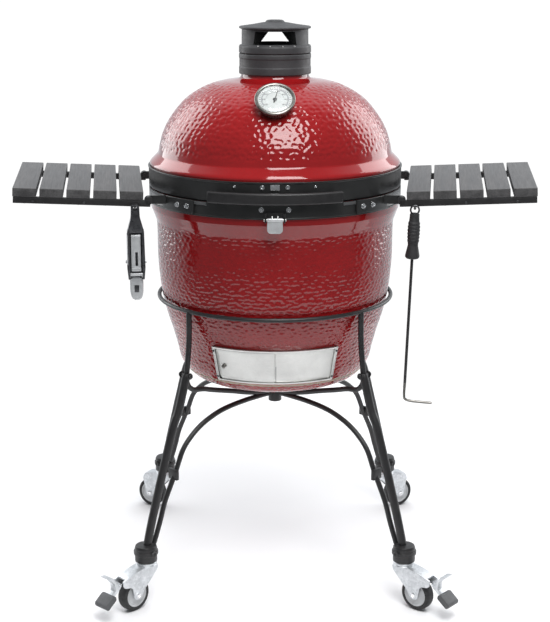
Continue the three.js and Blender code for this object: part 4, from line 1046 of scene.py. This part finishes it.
PIVOT_Z = JOINTS["shelf_fold_left"]["pos_m"][2] / MM
for name, s in SIDES.items():
    joint = JOINTS[f"shelf_fold_{name}"]
    pivot = (Vector(joint["pos_m"]) - AXIS) / MM
    turn = Matrix.Translation((pivot.x, pivot.y, 0)) @ Matrix.Rotation(-s * math.asin(abs(joint["axis"][0])),
        4, "Z")
    for where, end, reach, span, screw_angles in (("front", -1, 52, (0.64, 0.99), (0.7, 0.8)),
            ("rear", 1, 98, (2.2, 2.52), (2.36, 2.46))):
        y = pair(174.8, 179.8, end)
        hole = along_y(rod(4.4, y[0] - 1, y[1] + 1), 0, 0, PIVOT_Z)
        arm = block(pair(-reach, 0, s), y, (897, 915.4))
        arm = combine(arm, along_y(rod(9.2, y[0], y[1], 48, 0.1), 0, 0, PIVOT_Z), "UNION")
        arm = moved(combine(arm, hole), turn)
        arm = combine(arm, lathe([(0, 870), (291.3, 870), (291.3, 930), (0, 930)], 192, False))
        pad = arc(fillet([(291.3, 886), (296, 886), (296, 915.4), (291.3, 915.4)], 1.0), s * span[0],
            s * span[1], 24)
        heads = [outward(hexagon(4.6, 5.5), s * a, 295.4, 901) for a in screw_angles]
        put(f"bracket_{name}_{where}", join(eased(arm, 0.8), eased(pad, 0.8)), "frame", BAND,
            stands=f"shelf_bracket_{name}_{where}")
        put(f"bracket_bolts_{name}_{where}", join(*heads), "frame", CHROME)


# ---- tools -------------------------------------------------------------------------------------
def hook_matrix(name, s, lean):
    return (shelf_matrix(name, s) @ Matrix.Translation(Vector((s * HOOK.x, HOOK.y, HOOK.z)) * MM)
        @ Matrix.Rotation(s * TILT_UP + lean, 4, "Y"))


ash = hook_matrix("right", 1, 0.034)
ribs = [(0, -113), (12.6, -113), (15.6, -110), (15.8, -106), (13.6, -95), (11.3, -84), (11.6, -78),
    (12.9, -74), (12.9, -71), (11.9, -69.5), (13.3, -67), (13.3, -63.5), (12.1, -62), (13.6, -59.5),
    (13.6, -56), (12.3, -54.5), (13.7, -52), (13.7, -48.5), (12.4, -47), (13.5, -44.5), (13.5, -41),
    (12.1, -39.5), (12.9, -37), (12.9, -33.5), (11.4, -31), (10.6, -22)]
grip_body = turned([*ribs, (10.4, -14), (0, -14)], 48, 0.7)
put("ash_grip", grip_body, "ash_tool", RUBBER, ash, "ash_tool_handle")
ring = tube([(9.2 * math.sin(a), 0, -5.6 + 9.6 * math.cos(a)) for a in np.linspace(0, 2 * math.pi, 40,
    endpoint=False)], 2.0, 12, True)
put("ash_ring", join(ring, rod(6.4, -19, -12, 24)), "ash_tool", DARK_STEEL, ash)
put("ash_rod", tube(spline([(0, 0, -112), (0, 0, -200), (0, 0, -398)], 14), 3.25, 14), "ash_tool", POWDER,
    ash, "ash_tool_rod")
tip = spline([(0, 0, -396), (0, 0, -426), (1.5, 0, -434.5), (8, 0, -438), (62, 0, -441)], 3)
put("ash_rod_end", tube(tip, 3.2, 14), "ash_tool", BEZEL, ash)

grab = hook_matrix("left", -1, 0)
neck = fillet([(-9, 7), (9, 7), (10, -22), (18.6, -54), (-18.6, -54), (-10, -22)], 5)
eye = along_y(rod(4.4, -20, 20), 0, 0, 0)
put("gripper_neck", eased(combine(wall(neck, -12, 12), eye), 1.4, 2), "gripper", DARK_STEEL, grab,
    "gripper_frame")
cheeks = [eased(wall(fillet([(s * 13, -50), (s * 18.4, -50), (s * 20, -132), (s * 17.5, -158),
    (s * 13, -158)], 1.5), -13, 13), 1, 2) for s in (-1, 1)]
put("gripper_cheeks", join(*cheeks, eased(block((-13, 13), (8, 12.5), (-156, -52)), 0.8)), "gripper",
    DARK_STEEL, grab)
jaw = eased(wall(fillet([(-14.5, -154), (14.5, -154), (14.5, -190), (9, -206), (-9, -206), (-14.5, -190)], 9,
    6), -4, 10), 2, 3)
bridge = eased(block((-16.5, 16.5), (-12.5, -4), (-150, -144)), 1.5, 3)
pins = ends_x(rod(3.4, 0, 4.5, 20), 18.5, 8, -122)
put("gripper_jaw", join(jaw, bridge, *pins, eased(block((-19.6, -17.6), (-13.4, 10), (-124, -58)), 0.6)),
    "gripper", PALE, grab)
put("gripper_slot", eased(block((-5, 5), (-5.2, -3.4), (-188, -172)), 0.8), "gripper", DARK_STEEL, grab)
trigger = eased(combine(block((-10.4, 10.4), (-6, -2.4), (-132, -62)),
    block((-1.6, 3.6), (-8, 0), (-129, -98))), 0.8, 2)
put("gripper_panel", join(trigger, eased(block((-10.4, 10.4), (-13.6, -2.4), (-139, -132)), 1, 2),
    along_x(rod(4, -10.4, 10.4), 0, -4, -62)), "trigger", PALE, grab, "gripper_trigger")

# ---- studio ------------------------------------------------------------------------------------
CAMERA = Vector((0, -3.2786, 1.4403))
PITCH = 0.248
LENS_MM = 82.9
camera = add("camera", bpy.data.cameras.new("camera"))
camera.location = CAMERA + Vector((AXIS.x, AXIS.y, 0))
camera.rotation_euler = (math.pi / 2 - PITCH, 0, 0)
camera.data.lens = LENS_MM
camera.data.clip_end = 60
bpy.context.scene.camera = camera

FLOOR_R = 1.45
bm = bmesh.new()
bmesh.ops.create_circle(bm, cap_ends=True, segments=128, radius=FLOOR_R)
floor = add("floor", to_mesh(bm, "floor"))
floor_look = Look("white_floor", None)
floor_look.set(Base_Color=floor_look.ramp(floor_look.noise(3, 2),
    [(0.3, (0.86, 0.86, 0.87)), (0.7, (0.88, 0.88, 0.885))]), Roughness=0.9, Specular_IOR_Level=0.0)
floor.data.materials.append(floor_look.material)


def light(name, kind, energy, location, target, size, glossy=True):
    """A lamp aimed at target; size is a softbox's width and height, or the sun's angle."""
    data = bpy.data.lights.new(name, kind)
    data.energy = energy
    if kind == "AREA":
        data.shape, data.size, data.size_y = "RECTANGLE", *size
    else:
        data.angle = size[0]
    made = add(name, data)
    made.location = location
    made.rotation_euler = (Vector(target) - Vector(location)).to_track_quat("-Z", "Y").to_euler()
    made.visible_glossy = glossy
    return made


light("overhead", "SUN", 2.3, (0, 0.7, 4), (0, 0, 0), (1.5,), False)
light("window", "AREA", 150, (0.48, -1.7, 3.9), (0.48, -0.745, 3.6), (1.55, 3.4))
for side in (-1, 1):
    softbox = light(f"softbox_{side + 2}", "AREA", 32, (side * 2.0, 1.25, 1.7), (0, 0, 1.0), (1.5, 2.4))
    softbox.visible_diffuse = False

world = bpy.data.worlds.new("studio")
bpy.context.scene.world = world
world.use_nodes = True
tree = world.node_tree
tree.nodes.clear()
output = tree.nodes.new("ShaderNodeOutputWorld")
mix = tree.nodes.new("ShaderNodeMixShader")
seen = tree.nodes.new("ShaderNodeBackground")
room = tree.nodes.new("ShaderNodeBackground")
path = tree.nodes.new("ShaderNodeLightPath")
WHITE_LEVEL = 1.05
seen.inputs["Color"].default_value = (1, 1, 1, 1)
seen.inputs["Strength"].default_value = WHITE_LEVEL
room.inputs["Color"].default_value = (0.92, 0.96, 1, 1)
direction = tree.nodes.new("ShaderNodeTexCoord")
parts = tree.nodes.new("ShaderNodeSeparateXYZ")
behind = tree.nodes.new("ShaderNodeMapRange")
behind.interpolation_type = "SMOOTHSTEP"
for key, value in {"From Min": -0.1, "From Max": 0.45, "To Min": 0.2, "To Max": 0.95}.items():
    behind.inputs[key].default_value = value
tree.links.new(direction.outputs["Generated"], parts.inputs["Vector"])
tree.links.new(parts.outputs["Y"], behind.inputs["Value"])
tree.links.new(behind.outputs["Result"], room.inputs["Strength"])
tree.links.new(path.outputs["Is Camera Ray"], mix.inputs["Fac"])
tree.links.new(room.outputs["Background"], mix.inputs[1])
tree.links.new(seen.outputs["Background"], mix.inputs[2])
tree.links.new(mix.outputs["Shader"], output.inputs["Surface"])
bpy.context.scene.view_settings.view_transform = "Standard"
bpy.context.scene.view_settings.look = "None"
